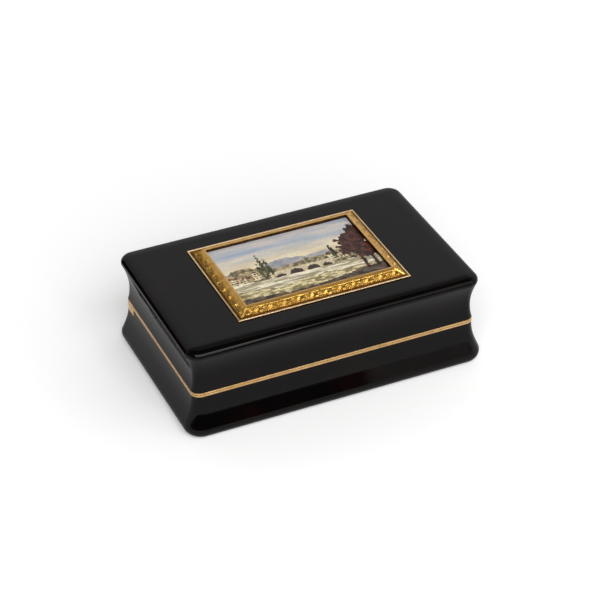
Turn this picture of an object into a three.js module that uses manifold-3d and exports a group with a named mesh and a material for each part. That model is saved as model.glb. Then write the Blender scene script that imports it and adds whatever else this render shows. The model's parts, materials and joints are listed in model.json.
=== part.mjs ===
// Rectangular snuff box of moulded tortoiseshell with gold mounts: a tray-shaped base, a hinged lid,
// and a mosaic panel in a raised gold frame on the lid.
// Millimetres, Z up. The origin is the middle of the flat underside, X runs along the length and
// +Y points to the hinge.

import * as THREE from 'three';
import { mergeVertices } from 'three/addons/utils/BufferGeometryUtils.js';
import Module from 'manifold-3d';

// Joint between base and lid, over the outside of the gold rims
const JOINT_LENGTH = 88.0;
const JOINT_WIDTH = 54.6;
const JOINT_CORNER_RADIUS = 2.8;
const JOINT_HEIGHT = 13.8;
const JOINT_GAP = 0.12;
const INNER_CORNER_RADIUS = 0.8;

// Moulded base: a drawn-in neck that spreads into a round foot
const FOOT_SPREAD = 2.5;
const FOOT_RADIUS = 2.5;
const FOOT_TURN = THREE.MathUtils.degToRad(22.5);
const FOOT_SWEEP = 3.4;
const NECK_DROP = 4.3;
const BASE_FLOOR = 2.4;

// Moulded lid: a spreading lower edge, a waist, a round nose and a wider round shoulder, with a top that
// falls a little to its edges
const LID_HEIGHT = 15.4;
const LID_WALL = 2.4;
const LID_TOP_THICKNESS = 3.0;
const LID_SPREAD_LEAN = 0.2;
const LID_SPREAD_RISE = 1.0;
const LID_SPREAD_REACH = 2.4;
const LID_WAIST_INSET = 0.68;
const LID_WAIST_RISE = 5.2;
const LID_WAIST_REACH = 3.0;
const LID_NOSE_SPREAD = 1.3;
const LID_NOSE_RADIUS = 1.25;
const LID_NOSE_TURN = THREE.MathUtils.degToRad(28);
const LID_NOSE_SWEEP = 2.2;
const LID_SHOULDER_RADIUS = 2.5;
const LID_SHOULDER_START = THREE.MathUtils.degToRad(50);
const LID_FALL = 0.25;
const LID_FALL_RUN = 2.8;
const INSIDE_FILLET = 1.5;

// Gold rims that stand a little proud on both edges, and the upstand on the base that the lid closes over
const RIM_HEIGHT = 0.58;
const RIM_PROUD = 0.12;
const RIM_LEAF = 0.4;
const RIM_LEG = 3.5;
const LIP_THICKNESS = 0.4;
const LIP_RISE = 2.4;
const LIP_DEPTH = 3.0;
const LIP_CLEARANCE = 0.3;
const LIP_END_INSET = 9.0;

// Hinge along the back of the joint
const KNUCKLES = 9;
const KNUCKLE_RADIUS = 1.3;
const KNUCKLE_GAP = 0.2;
const HINGE_STANDOFF = 0.3;
const HINGE_CLEARANCE = 0.25;
const HINGE_PLATE = 0.6;
const HINGE_PLATE_DROP = 3.0;
const HINGE_END_INSET = 5.0;
const PIN_RADIUS = 0.5;
const PIN_CLEARANCE = 0.08;
const CHEEK_RUN = 6.5;
const CHEEK_THICKNESS = 0.9;
const SEAT_GAP = 0.1;

// Gold frame on the lid, from the outer wire in to the sight edge
const FRAME_LENGTH = 53.5;
const FRAME_WIDTH = 39.3;
const FRAME_WIRE_DIAMETER = 0.5;
const FRAME_BEAD_DIAMETER = 0.45;
const FRAME_STRIP_WIDTH = 2.25;
const FRAME_STRIP_OUTER_RISE = 0.6;
const FRAME_STRIP_INNER_RISE = 1.95;
const FRAME_STRIP_CROWN = 0.35;
const SIGHT_EDGE_WIDTH = 0.85;
const SIGHT_EDGE_RISE = 2.2;
const SIGHT_EDGE_THICKNESS = 0.4;
const FRAME_GAP = 0.05;
const MITRE_GAP = 0.2;

// Mosaic in its tray, let into the lid
const MOSAIC_RISE = 1.2;
const MOSAIC_THICKNESS = 1.0;
const TRAY_DEPTH = 1.4;
const TRAY_SHEET = 0.35;

// Pins that hold the frame on the lid, riveted over inside
const FRAME_PIN_RADIUS = 0.5;
const FRAME_PIN_CLEARANCE = 0.15;
const FRAME_PIN_HEAD_RADIUS = 1.0;
const FRAME_PIN_HEAD = 0.4;
const FRAME_PIN_INSET = 4.0;

// Fineness of the facets
const CORNER_STEPS = 6;
const CURVE_STEPS = 5;
const ROUND_STEPS = 16;
const WIRE_STEPS = 10;

// Sizes that follow from those above
const BASE_WALL = LID_WALL + LIP_CLEARANCE;
const BASE_EDGE = JOINT_HEIGHT - JOINT_GAP / 2 - RIM_HEIGHT;
const LID_EDGE = JOINT_HEIGHT + JOINT_GAP / 2 + RIM_HEIGHT;
const LID_TOP = JOINT_HEIGHT + LID_HEIGHT;
const LID_CEILING = LID_TOP - LID_TOP_THICKNESS;
const LIP_FACE = BASE_WALL + RIM_LEAF;
const HINGE_Y = JOINT_WIDTH / 2 + HINGE_STANDOFF;
const HINGE_LENGTH = JOINT_LENGTH - 2 * HINGE_END_INSET;
const KNUCKLE_FOOT = KNUCKLE_RADIUS + HINGE_CLEARANCE;
const HINGE_PLATE_REACH = KNUCKLE_FOOT + HINGE_PLATE;
const FRAME_WIRES = FRAME_WIRE_DIAMETER + FRAME_BEAD_DIAMETER;
const FRAME_BAND = FRAME_WIRES + FRAME_STRIP_WIDTH + SIGHT_EDGE_WIDTH + 2 * FRAME_GAP;
const SIGHT_LENGTH = FRAME_LENGTH - 2 * FRAME_BAND;
const SIGHT_WIDTH = FRAME_WIDTH - 2 * FRAME_BAND;
const STRIP_START = SIGHT_EDGE_WIDTH + FRAME_GAP;
const STRIP_END = STRIP_START + FRAME_STRIP_WIDTH;
const TRAY_REACH = SIGHT_EDGE_WIDTH - SIGHT_EDGE_THICKNESS - SEAT_GAP;
const TRAY_RISE = SIGHT_EDGE_RISE - SIGHT_EDGE_THICKNESS - SEAT_GAP;

const wasm = await Module();
wasm.setup();

const material = (color, roughness, metalness) =>
  new THREE.MeshStandardMaterial({ color, roughness, metalness });
const TORTOISESHELL = material(0x1d1613, 0.12, 0.0);
const GOLD = material(0xc9a063, 0.28, 1.0);
const COPPER = material(0x9a653d, 0.4, 1.0);
const CEMENT = material(0x8f877a, 0.9, 0.0);
const GLASS_TESSERAE = material(0xa3a89c, 0.3, 0.0);

// Points round the joint outline grown by an offset, counter-clockwise from above
function jointOutline(offset) {
  const radius = Math.max(JOINT_CORNER_RADIUS + offset, INNER_CORNER_RADIUS);
  const centreX = JOINT_LENGTH / 2 + offset - radius;
  const centreY = JOINT_WIDTH / 2 + offset - radius;
  const points = [];
  for (const [corner, [sideX, sideY]] of [[1, 1], [-1, 1], [-1, -1], [1, -1]].entries()) {
    for (let step = 0; step <= CORNER_STEPS; step += 1) {
      const angle = (corner + step / CORNER_STEPS) * Math.PI / 2;
      const x = sideX * centreX + radius * Math.cos(angle);
      const y = sideY * centreY + radius * Math.sin(angle);
      points.push(new THREE.Vector2(x, y));
    }
  }
  return points;
}

// The four mitred corners of the sight opening grown by an offset, counter-clockwise from above
function sightOutline(offset) {
  const x = SIGHT_LENGTH / 2 + offset;
  const y = SIGHT_WIDTH / 2 + offset;
  return section([[x, y], [-x, y], [-x, -y], [x, -y]]);
}

// Sweeps a profile of (offset, height) points round an outline. A closed profile runs counter-clockwise
// and makes a ring. An open one is capped flat at its start, facing down, and at its end, facing up.
function sweep(profile, outline, closed) {
  const rings = profile.map(({ x: offset, y: height }) =>
    outline(offset).map(({ x, y }) => [x, y, height]));
  const size = rings[0].length;
  const index = [];
  const steps = closed ? rings.length : rings.length - 1;
  for (let level = 0; level < steps; level += 1) {
    const lower = level * size;
    const upper = ((level + 1) % rings.length) * size;
    for (let side = 0; side < size; side += 1) {
      const next = (side + 1) % size;
      index.push(lower + side, lower + next, upper + next, lower + side, upper + next, upper + side);
    }
  }
  const points = rings.flat();
  if (!closed) {
    const last = (rings.length - 1) * size;
    const startCentre = points.push([0, 0, profile[0].y]) - 1;
    const endCentre = points.push([0, 0, profile.at(-1).y]) - 1;
    for (let side = 0; side < size; side += 1) {
      const next = (side + 1) % size;
      index.push(startCentre, next, side, endCentre, last + side, last + next);
    }
  }
  const geometry = new THREE.BufferGeometry();
  geometry.setAttribute('position', new THREE.Float32BufferAttribute(points.flat(), 3));
  geometry.setIndex(index);
  return geometry;
}

const section = (corners) => corners.map(([offset, height]) => new THREE.Vector2(offset, height));

const rectangle = (inner, outer, low, high) =>
  section([[inner, low], [outer, low], [outer, high], [inner, high]]);

// Bar along X of a shape drawn in (Y, Z), with its ends mitred by so much per unit of Y
function bar(shape, length, mitre = 0) {
  const curveSegments = ROUND_STEPS / 2;
  const geometry = new THREE.ExtrudeGeometry(shape, { depth: length, bevelEnabled: false, curveSegments });
  geometry.translate(0, 0, -length / 2);
  const alongX = new THREE.Vector3(1, 0, 0);
  const alongY = new THREE.Vector3(0, 1, 0);
  const alongZ = new THREE.Vector3(0, 0, 1);
  geometry.applyMatrix4(new THREE.Matrix4().makeBasis(alongY, alongZ, alongX));
  const position = geometry.getAttribute('position');
  for (let vertex = 0; vertex < position.count; vertex += 1) {
    const x = position.getX(vertex);
    position.setX(vertex, x + Math.sign(x) * mitre * position.getY(vertex));
  }
  return geometry;
}

// Block between two corners
function block(low, high) {
  const size = new THREE.Vector3().subVectors(high, low);
  const centre = new THREE.Vector3().addVectors(low, high).divideScalar(2);
  return new THREE.BoxGeometry(size.x, size.y, size.z).translate(centre.x, centre.y, centre.z);
}

// Upright cylinder between two heights
function post(x, y, radius, low, high) {
  const cylinder = new THREE.CylinderGeometry(radius, radius, high - low, ROUND_STEPS);
  return cylinder.rotateX(Math.PI / 2).translate(x, y, (low + high) / 2);
}

function toSolid(geometry) {
  const bare = geometry.clone();
  bare.deleteAttribute('normal');
  bare.deleteAttribute('uv');
  const merged = mergeVertices(bare);
  const vertProperties = Float32Array.from(merged.getAttribute('position').array);
  const triVerts = Uint32Array.from(merged.getIndex().array);
  return new wasm.Manifold(new wasm.Mesh({ numProp: 3, vertProperties, triVerts }));
}

function toGeometry(solid) {
  const mesh = solid.getMesh();
  const geometry = new THREE.BufferGeometry();
  geometry.setAttribute('position', new THREE.BufferAttribute(mesh.vertProperties, 3));
  geometry.setIndex(new THREE.BufferAttribute(mesh.triVerts, 1));
  return geometry;
}

const cut = (geometry, tools) =>
  toGeometry(tools.reduce((solid, tool) => solid.subtract(toSolid(tool)), toSolid(geometry)));

const common = (geometry, other) => toGeometry(toSolid(geometry).intersect(toSolid(other)));

function piece(group, name, geometry, finish) {
  const mesh = new THREE.Mesh(geometry, finish);
  mesh.name = name;
  group.add(mesh);
  return mesh;
}

const box = new THREE.Group();
const base = new THREE.Group();
const lid = new THREE.Group();
box.add(base, lid);

// Far enough out to clear the whole box
const BEYOND = JOINT_LENGTH;

// Gutter along the back that the hinge lies in, from the base plate's underside to the lid plate's top
const gutterFront = HINGE_Y - HINGE_PLATE_REACH - SEAT_GAP;
const gutterEnd = HINGE_LENGTH / 2 + SEAT_GAP;
const gutter = block(
  new THREE.Vector3(-gutterEnd, gutterFront, JOINT_HEIGHT - HINGE_PLATE_DROP),
  new THREE.Vector3(gutterEnd, BEYOND, JOINT_HEIGHT + HINGE_PLATE_REACH),
);

// Rebates in the base for the cheeks at the two back corners, beside the gutter
const cheekFoot = JOINT_HEIGHT - HINGE_PLATE_DROP;
const cheekFront = JOINT_WIDTH / 2 - CHEEK_RUN;
function cheekZone(side, gap) {
  const inner = gutterEnd + SEAT_GAP - gap;
  const near = Math.min(side * inner, side * BEYOND);
  const far = Math.max(side * inner, side * BEYOND);
  return block(new THREE.Vector3(near, cheekFront - gap, 0), new THREE.Vector3(far, BEYOND, LID_TOP));
}
const cheekBand = sweep(rectangle(-CHEEK_THICKNESS, 0, cheekFoot, BASE_EDGE), jointOutline, true);
const rebateBand = sweep(
  rectangle(-CHEEK_THICKNESS - SEAT_GAP, FOOT_SPREAD, cheekFoot, JOINT_HEIGHT),
  jointOutline,
  true,
);

// Base shell
function baseProfile() {
  const centre = FOOT_SPREAD - FOOT_RADIUS;
  const footX = centre + FOOT_RADIUS * Math.cos(FOOT_TURN);
  const footZ = FOOT_RADIUS + FOOT_RADIUS * Math.sin(FOOT_TURN);
  const sweepX = footX - FOOT_SWEEP * Math.sin(FOOT_TURN);
  const sweepZ = footZ + FOOT_SWEEP * Math.cos(FOOT_TURN);
  const filletX = -BASE_WALL - INSIDE_FILLET;
  const filletZ = BASE_FLOOR + INSIDE_FILLET;
  const profile = new THREE.Path();
  profile.moveTo(centre, 0);
  profile.absarc(centre, FOOT_RADIUS, FOOT_RADIUS, -Math.PI / 2, FOOT_TURN);
  profile.bezierCurveTo(sweepX, sweepZ, -RIM_PROUD, BASE_EDGE - NECK_DROP, -RIM_PROUD, BASE_EDGE);
  profile.lineTo(-BASE_WALL, BASE_EDGE);
  profile.lineTo(-BASE_WALL, filletZ);
  profile.absarc(filletX, filletZ, INSIDE_FILLET, 0, -Math.PI / 2, true);
  return profile.getPoints(CURVE_STEPS);
}
const rebates = [-1, 1].map((side) => common(rebateBand, cheekZone(side, SEAT_GAP)));
const baseBody = sweep(baseProfile(), jointOutline, false);
piece(base, 'base_shell', cut(baseBody, [gutter, ...rebates]), TORTOISESHELL);

// Base rim: a flat strip on the edge of the shell with a leg down the inside
const baseRim = section([
  [-LIP_FACE, BASE_EDGE - RIM_LEG],
  [-BASE_WALL, BASE_EDGE - RIM_LEG],
  [-BASE_WALL, BASE_EDGE],
  [0, BASE_EDGE],
  [0, BASE_EDGE + RIM_HEIGHT],
  [-LIP_FACE, BASE_EDGE + RIM_HEIGHT],
]);
piece(base, 'base_rim', cut(sweep(baseRim, jointOutline, true), [gutter]), GOLD);

// Base lip: a strip standing up inside the rim, left open along the hinge
const lipBottom = BASE_EDGE + RIM_HEIGHT - LIP_DEPTH;
const lipRing = sweep(
  rectangle(-LIP_FACE - LIP_THICKNESS, -LIP_FACE, lipBottom, JOINT_HEIGHT + LIP_RISE),
  jointOutline,
  true,
);
const lipEnd = block(
  new THREE.Vector3(-BEYOND, JOINT_WIDTH / 2 - LIP_END_INSET, 0),
  new THREE.Vector3(BEYOND, BEYOND, LID_TOP),
);
piece(base, 'base_lip', cut(lipRing, [lipEnd]), GOLD);

// Cheeks: taller gold plates let into the back corners of the base
for (const [name, side] of [['left', -1], ['right', 1]]) {
  piece(base, `hinge_cheek_${name}`, common(cheekBand, cheekZone(side, 0)), GOLD);
}

// Hinge plates: angle strips lining the gutter, drawn about the hinge axis
const hinge = new THREE.Vector3(0, HINGE_Y, JOINT_HEIGHT);
const outline = (corners) => new THREE.Shape(section(corners));
const basePlate = outline([
  [-HINGE_PLATE_REACH, -HINGE_PLATE_DROP],
  [-HINGE_STANDOFF, -HINGE_PLATE_DROP],
  [-HINGE_STANDOFF, -KNUCKLE_FOOT],
  [-KNUCKLE_FOOT, -KNUCKLE_FOOT],
  [-KNUCKLE_FOOT, -JOINT_GAP / 2],
  [-HINGE_PLATE_REACH, -JOINT_GAP / 2],
]);
const lidPlate = outline([
  [-HINGE_PLATE_REACH, JOINT_GAP / 2],
  [-KNUCKLE_FOOT, JOINT_GAP / 2],
  [-KNUCKLE_FOOT, KNUCKLE_FOOT],
  [-HINGE_STANDOFF, KNUCKLE_FOOT],
  [-HINGE_STANDOFF, HINGE_PLATE_REACH],
  [-HINGE_PLATE_REACH, HINGE_PLATE_REACH],
]);
piece(base, 'base_hinge_plate', bar(basePlate, HINGE_LENGTH), GOLD).position.copy(hinge);
piece(lid, 'lid_hinge_plate', bar(lidPlate, HINGE_LENGTH), GOLD).position.copy(hinge);

// Knuckles: tubes with a square foot seated in their own plate, base and lid in turn
const knuckleLength = (HINGE_LENGTH - (KNUCKLES - 1) * KNUCKLE_GAP) / KNUCKLES;
const knuckleShape = new THREE.Shape();
knuckleShape.moveTo(-KNUCKLE_FOOT, -KNUCKLE_FOOT);
knuckleShape.lineTo(0, -KNUCKLE_FOOT);
knuckleShape.absarc(0, 0, KNUCKLE_RADIUS, -Math.PI / 2, Math.PI);
knuckleShape.lineTo(-KNUCKLE_FOOT, 0);
const knuckleBore = new THREE.Path();
knuckleBore.absarc(0, 0, PIN_RADIUS + PIN_CLEARANCE, 0, 2 * Math.PI);
knuckleShape.holes.push(knuckleBore);
for (let place = 0; place < KNUCKLES; place += 1) {
  const onLid = place % 2 === 1;
  const count = Math.floor(place / 2) + 1;
  const name = `${onLid ? 'lid' : 'base'}_knuckle_${count}`;
  const knuckle = piece(onLid ? lid : base, name, bar(knuckleShape, knuckleLength), GOLD);
  const x = (place - (KNUCKLES - 1) / 2) * (knuckleLength + KNUCKLE_GAP);
  knuckle.position.set(x, HINGE_Y, JOINT_HEIGHT);
  knuckle.rotation.x = onLid ? -Math.PI / 2 : 0;
}
const pinShape = new THREE.Shape();
pinShape.absarc(0, 0, PIN_RADIUS, 0, 2 * Math.PI);
piece(base, 'hinge_pin', bar(pinShape, HINGE_LENGTH), GOLD).position.copy(hinge);

// Lid shell
function lidProfile() {
  const fallSlope = 2 * LID_FALL / LID_FALL_RUN;
  const fallLean = Math.atan(fallSlope);
  const crownZ = LID_TOP - LID_FALL - LID_SHOULDER_RADIUS * Math.cos(fallLean);
  const step = LID_SHOULDER_RADIUS - LID_NOSE_RADIUS;
  const centreX = LID_NOSE_SPREAD - LID_NOSE_RADIUS;
  const centreZ = crownZ + step * Math.sin(LID_SHOULDER_START);
  const crownX = centreX - step * Math.cos(LID_SHOULDER_START);
  const noseX = centreX + LID_NOSE_RADIUS * Math.cos(LID_NOSE_TURN);
  const noseZ = centreZ - LID_NOSE_RADIUS * Math.sin(LID_NOSE_TURN);
  const sweepX = noseX - LID_NOSE_SWEEP * Math.sin(LID_NOSE_TURN);
  const sweepZ = noseZ - LID_NOSE_SWEEP * Math.cos(LID_NOSE_TURN);
  const shoulderX = crownX + LID_SHOULDER_RADIUS * Math.sin(fallLean);
  const shoulderZ = LID_TOP - LID_FALL;
  const fallPull = LID_FALL_RUN / 3;
  const flatX = shoulderX - LID_FALL_RUN;
  const waistZ = JOINT_HEIGHT + LID_WAIST_RISE;
  const filletX = -LID_WALL - INSIDE_FILLET;
  const filletZ = LID_CEILING - INSIDE_FILLET;
  const profile = new THREE.Path();
  profile.moveTo(filletX, LID_CEILING);
  profile.absarc(filletX, filletZ, INSIDE_FILLET, Math.PI / 2, 0, true);
  profile.lineTo(-LID_WALL, LID_EDGE);
  profile.lineTo(-RIM_PROUD, LID_EDGE);
  profile.bezierCurveTo(
    -RIM_PROUD - LID_SPREAD_LEAN, LID_EDGE + LID_SPREAD_RISE,
    -LID_WAIST_INSET, waistZ - LID_SPREAD_REACH,
    -LID_WAIST_INSET, waistZ,
  );
  profile.bezierCurveTo(-LID_WAIST_INSET, waistZ + LID_WAIST_REACH, sweepX, sweepZ, noseX, noseZ);
  profile.absarc(centreX, centreZ, LID_NOSE_RADIUS, -LID_NOSE_TURN, LID_SHOULDER_START);
  profile.absarc(crownX, crownZ, LID_SHOULDER_RADIUS, LID_SHOULDER_START, Math.PI / 2 - fallLean);
  profile.bezierCurveTo(
    shoulderX - fallPull, shoulderZ + fallPull * fallSlope,
    flatX + fallPull, LID_TOP,
    flatX, LID_TOP,
  );
  return profile.getPoints(CURVE_STEPS);
}
const trayX = SIGHT_LENGTH / 2 + TRAY_REACH;
const trayY = SIGHT_WIDTH / 2 + TRAY_REACH;
const trayFloor = LID_TOP - TRAY_DEPTH;
const recess = block(
  new THREE.Vector3(-trayX - SEAT_GAP, -trayY - SEAT_GAP, trayFloor),
  new THREE.Vector3(trayX + SEAT_GAP, trayY + SEAT_GAP, LID_TOP + SIGHT_EDGE_RISE),
);
const pinX = SIGHT_LENGTH / 2 - FRAME_PIN_INSET;
const pinY = SIGHT_WIDTH / 2 + (STRIP_START + STRIP_END) / 2;
const pinPlaces = [[-pinX, -pinY], [pinX, -pinY], [pinX, pinY], [-pinX, pinY]];
const pinHoleRadius = FRAME_PIN_RADIUS + FRAME_PIN_CLEARANCE;
const pinHoles = pinPlaces.map(([x, y]) => post(x, y, pinHoleRadius, 0, BEYOND));
const lidBody = sweep(lidProfile(), jointOutline, false);
piece(lid, 'lid_shell', cut(lidBody, [gutter, recess, ...pinHoles]), TORTOISESHELL);

// Lid rim: the upper strip of the joint, with a leg up the inside
const lidRimFace = LID_WALL + RIM_LEAF;
const lidRim = section([
  [-lidRimFace, LID_EDGE - RIM_HEIGHT],
  [0, LID_EDGE - RIM_HEIGHT],
  [0, LID_EDGE],
  [-LID_WALL, LID_EDGE],
  [-LID_WALL, LID_EDGE + RIM_LEG],
  [-lidRimFace, LID_EDGE + RIM_LEG],
]);
piece(lid, 'lid_rim', cut(sweep(lidRim, jointOutline, true), [gutter]), GOLD);

// Tray, bedding and tesserae, from the recess up
const trayWallInside = TRAY_REACH - TRAY_SHEET;
const trayProfile = section([
  [TRAY_REACH, trayFloor],
  [TRAY_REACH, LID_TOP + TRAY_RISE],
  [trayWallInside, LID_TOP + TRAY_RISE],
  [trayWallInside, trayFloor + TRAY_SHEET],
]);
piece(lid, 'mosaic_tray', sweep(trayProfile, sightOutline, false), COPPER);
const mosaicTop = LID_TOP + MOSAIC_RISE;
const mosaicX = SIGHT_LENGTH / 2 + trayWallInside - SEAT_GAP;
const mosaicY = SIGHT_WIDTH / 2 + trayWallInside - SEAT_GAP;
function slab(low, high) {
  return block(new THREE.Vector3(-mosaicX, -mosaicY, low), new THREE.Vector3(mosaicX, mosaicY, high));
}
piece(lid, 'mosaic_cement', slab(trayFloor + TRAY_SHEET, mosaicTop - MOSAIC_THICKNESS), CEMENT);
piece(lid, 'mosaic_panel', slab(mosaicTop - MOSAIC_THICKNESS, mosaicTop), GLASS_TESSERAE);

// Sight edge: an angle strip that covers the edge of the tray
const sightEdge = section([
  [0, LID_TOP + SIGHT_EDGE_RISE - SIGHT_EDGE_THICKNESS],
  [SIGHT_EDGE_WIDTH - SIGHT_EDGE_THICKNESS, LID_TOP + SIGHT_EDGE_RISE - SIGHT_EDGE_THICKNESS],
  [SIGHT_EDGE_WIDTH - SIGHT_EDGE_THICKNESS, LID_TOP],
  [SIGHT_EDGE_WIDTH, LID_TOP],
  [SIGHT_EDGE_WIDTH, LID_TOP + SIGHT_EDGE_RISE],
  [0, LID_TOP + SIGHT_EDGE_RISE],
]);
piece(lid, 'frame_sight_edge', sweep(sightEdge, sightOutline, true), GOLD);

// Chased strips: four mitred bars whose tops swell and fall away from the sight edge
const stripShape = new THREE.Shape();
const crownOffset = (STRIP_START + STRIP_END) / 2;
const crownHeight = (FRAME_STRIP_OUTER_RISE + FRAME_STRIP_INNER_RISE) / 2 + FRAME_STRIP_CROWN;
stripShape.moveTo(STRIP_START, 0);
stripShape.lineTo(STRIP_END, 0);
stripShape.lineTo(STRIP_END, FRAME_STRIP_OUTER_RISE);
stripShape.quadraticCurveTo(crownOffset, crownHeight, STRIP_START, FRAME_STRIP_INNER_RISE);
const stripSides = [
  ['back', 0, SIGHT_LENGTH, SIGHT_WIDTH],
  ['left', 1, SIGHT_WIDTH, SIGHT_LENGTH],
  ['front', 2, SIGHT_LENGTH, SIGHT_WIDTH],
  ['right', 3, SIGHT_WIDTH, SIGHT_LENGTH],
];
for (const [name, quarter, length, across] of stripSides) {
  const turned = new THREE.Group();
  turned.rotation.z = quarter * Math.PI / 2;
  const strip = piece(turned, `frame_strip_${name}`, bar(stripShape, length - MITRE_GAP, 1), GOLD);
  strip.position.set(0, across / 2, LID_TOP);
  lid.add(turned);
}

// Beaded wire and plain outer wire, laid round the strips on the lid
function wireSection(inner, diameter) {
  const radius = diameter / 2;
  const round = new THREE.EllipseCurve(inner + radius, LID_TOP + radius, radius, radius);
  return round.getPoints(WIRE_STEPS).slice(0, WIRE_STEPS);
}
const beadStart = STRIP_END + FRAME_GAP;
const wireStart = beadStart + FRAME_BEAD_DIAMETER;
const beadWire = wireSection(beadStart, FRAME_BEAD_DIAMETER);
piece(lid, 'frame_bead_wire', sweep(beadWire, sightOutline, true), GOLD);
const outerWire = wireSection(wireStart, FRAME_WIRE_DIAMETER);
piece(lid, 'frame_wire', sweep(outerWire, sightOutline, true), GOLD);

// Frame pins: a shank from the strip down through the lid, riveted over inside
const pinProfile = section([
  [0, LID_CEILING - FRAME_PIN_HEAD],
  [FRAME_PIN_HEAD_RADIUS, LID_CEILING - FRAME_PIN_HEAD],
  [FRAME_PIN_HEAD_RADIUS, LID_CEILING],
  [FRAME_PIN_RADIUS, LID_CEILING],
  [FRAME_PIN_RADIUS, LID_TOP],
  [0, LID_TOP],
]);
for (const [place, [x, y]] of pinPlaces.entries()) {
  const turned = new THREE.LatheGeometry(pinProfile, ROUND_STEPS).rotateX(Math.PI / 2);
  piece(lid, `frame_pin_${place + 1}`, turned, GOLD).position.set(x, y, 0);
}

export default box;
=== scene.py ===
"""Snuff box of dark tortoiseshell with gold mounts and a mosaic lid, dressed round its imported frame.

The frame is in metres, Z up: the origin is the middle of the flat underside, X runs along the length and
+Y points to the hinge. Sizes here are in millimetres and become metres when a mesh or a tree takes them.
"""

import json
import logging
import math
from dataclasses import dataclass
from enum import Enum
from typing import Sequence

import bmesh
import bpy
import numpy as np
from mathutils import Matrix, Vector, noise


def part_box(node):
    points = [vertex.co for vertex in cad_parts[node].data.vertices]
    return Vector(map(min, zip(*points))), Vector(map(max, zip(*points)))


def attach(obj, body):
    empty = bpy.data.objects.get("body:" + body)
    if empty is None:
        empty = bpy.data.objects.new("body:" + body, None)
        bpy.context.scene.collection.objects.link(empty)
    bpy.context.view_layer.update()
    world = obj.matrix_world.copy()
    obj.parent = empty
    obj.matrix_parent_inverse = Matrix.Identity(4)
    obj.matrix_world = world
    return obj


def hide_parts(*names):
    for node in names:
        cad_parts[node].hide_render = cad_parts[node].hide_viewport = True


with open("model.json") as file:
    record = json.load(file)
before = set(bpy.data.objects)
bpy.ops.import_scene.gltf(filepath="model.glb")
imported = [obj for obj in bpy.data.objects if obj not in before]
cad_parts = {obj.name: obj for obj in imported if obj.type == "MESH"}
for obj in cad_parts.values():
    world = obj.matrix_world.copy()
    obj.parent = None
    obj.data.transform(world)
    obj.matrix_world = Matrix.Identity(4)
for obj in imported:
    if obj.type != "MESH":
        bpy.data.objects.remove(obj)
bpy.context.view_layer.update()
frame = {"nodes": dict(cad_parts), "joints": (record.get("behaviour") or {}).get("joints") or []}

# A millimetre in metres, and the least distance that counts, in millimetres
MM = 0.001
TINY = 0.001

QUARTER_TURN = 90.0
WHITE = "FFFFFF"

# Angles between faces: from the first on an edge is sharp, and up to the second two faces count as one
SHARP_ANGLE = math.radians(32)
FLAT_ANGLE = math.radians(1)

# Corners of a rectangle, counter-clockwise from above
CORNERS = ((1, 1), (-1, 1), (-1, -1), (1, -1))

# Curve of sRGB colours
BYTE_FULL = 255
SRGB_TOE = 0.04045
SRGB_TOE_SLOPE = 12.92
SRGB_OFFSET = 0.055
SRGB_POWER = 2.4

# Values that meshes carry for their finishes, and the field of each kind of value
# A chased strip's relief value is lowered where its outer edge gets painted shade
RELIEF_AND_PAINTED_SHADE = "relief"
GLAZE = "glaze"
VALUE_FIELDS = {"FLOAT": "value", "FLOAT_VECTOR": "vector", "FLOAT_COLOR": "color"}

# Inputs and output of a colour Mix node, which has one set of sockets for each kind of value
MIX_FACTOR, MIX_FIRST, MIX_SECOND, MIX_COLOUR = 0, 6, 7, 2

log = logging.getLogger("snuff_box")

Object = bpy.types.Object
Tree = bpy.types.NodeTree
Socket = bpy.types.NodeSocket
Colour = tuple[float, float, float, float]
Triple = tuple[float, float, float]
Pair = tuple[float, float]
Path = list[Pair]


class Body(Enum):
    """Moving bodies of the frame."""

    BASE = "base"
    LID = "lid"


class Slot(Enum):
    """Material slots of the record, one named for each new piece."""

    SHELL = "tortoiseshell"
    GOLD = "gold"
    TESSERAE = "glass_tesserae"


class Side(Enum):
    """Sides of the picture frame, by the quarter turns that bring the back one there."""

    BACK = 0
    LEFT = 1
    FRONT = 2
    RIGHT = 3


def linear(hex_colour: str) -> Colour:
    """Turns an sRGB hex colour into the linear values that nodes take.

    Args:
        hex_colour: six hex digits.

    Returns:
        Linear red, green and blue, with full alpha.
    """
    channels = []
    for value in bytes.fromhex(hex_colour):
        share = value / BYTE_FULL
        bent = ((share + SRGB_OFFSET) / (1 + SRGB_OFFSET)) ** SRGB_POWER
        channels.append(share / SRGB_TOE_SLOPE if share <= SRGB_TOE else bent)
    return (*channels, 1.0)


def span(node: str) -> tuple[Vector, Vector]:
    """Gives the lowest and highest corners of a solid in millimetres."""
    low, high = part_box(node)
    return low / MM, high / MM


def add_node(tree: Tree, kind: str, sockets: dict | None = None, **settings: object) -> bpy.types.Node:
    """Adds a node to a tree.

    Args:
        tree: the tree that takes the node.
        kind: the node's type name.
        sockets: for each input, by name or number, a value, a socket to link from or a list of sockets.
        settings: the node's own properties.

    Returns:
        The new node.
    """
    node = tree.nodes.new(kind)
    for name, value in settings.items():
        setattr(node, name, value)
    for key, given in (sockets or {}).items():
        for value in given if isinstance(given, list) else [given]:
            if isinstance(value, Socket):
                tree.links.new(value, node.inputs[key])
            else:
                node.inputs[key].default_value = value
    return node


# Finishes


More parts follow.
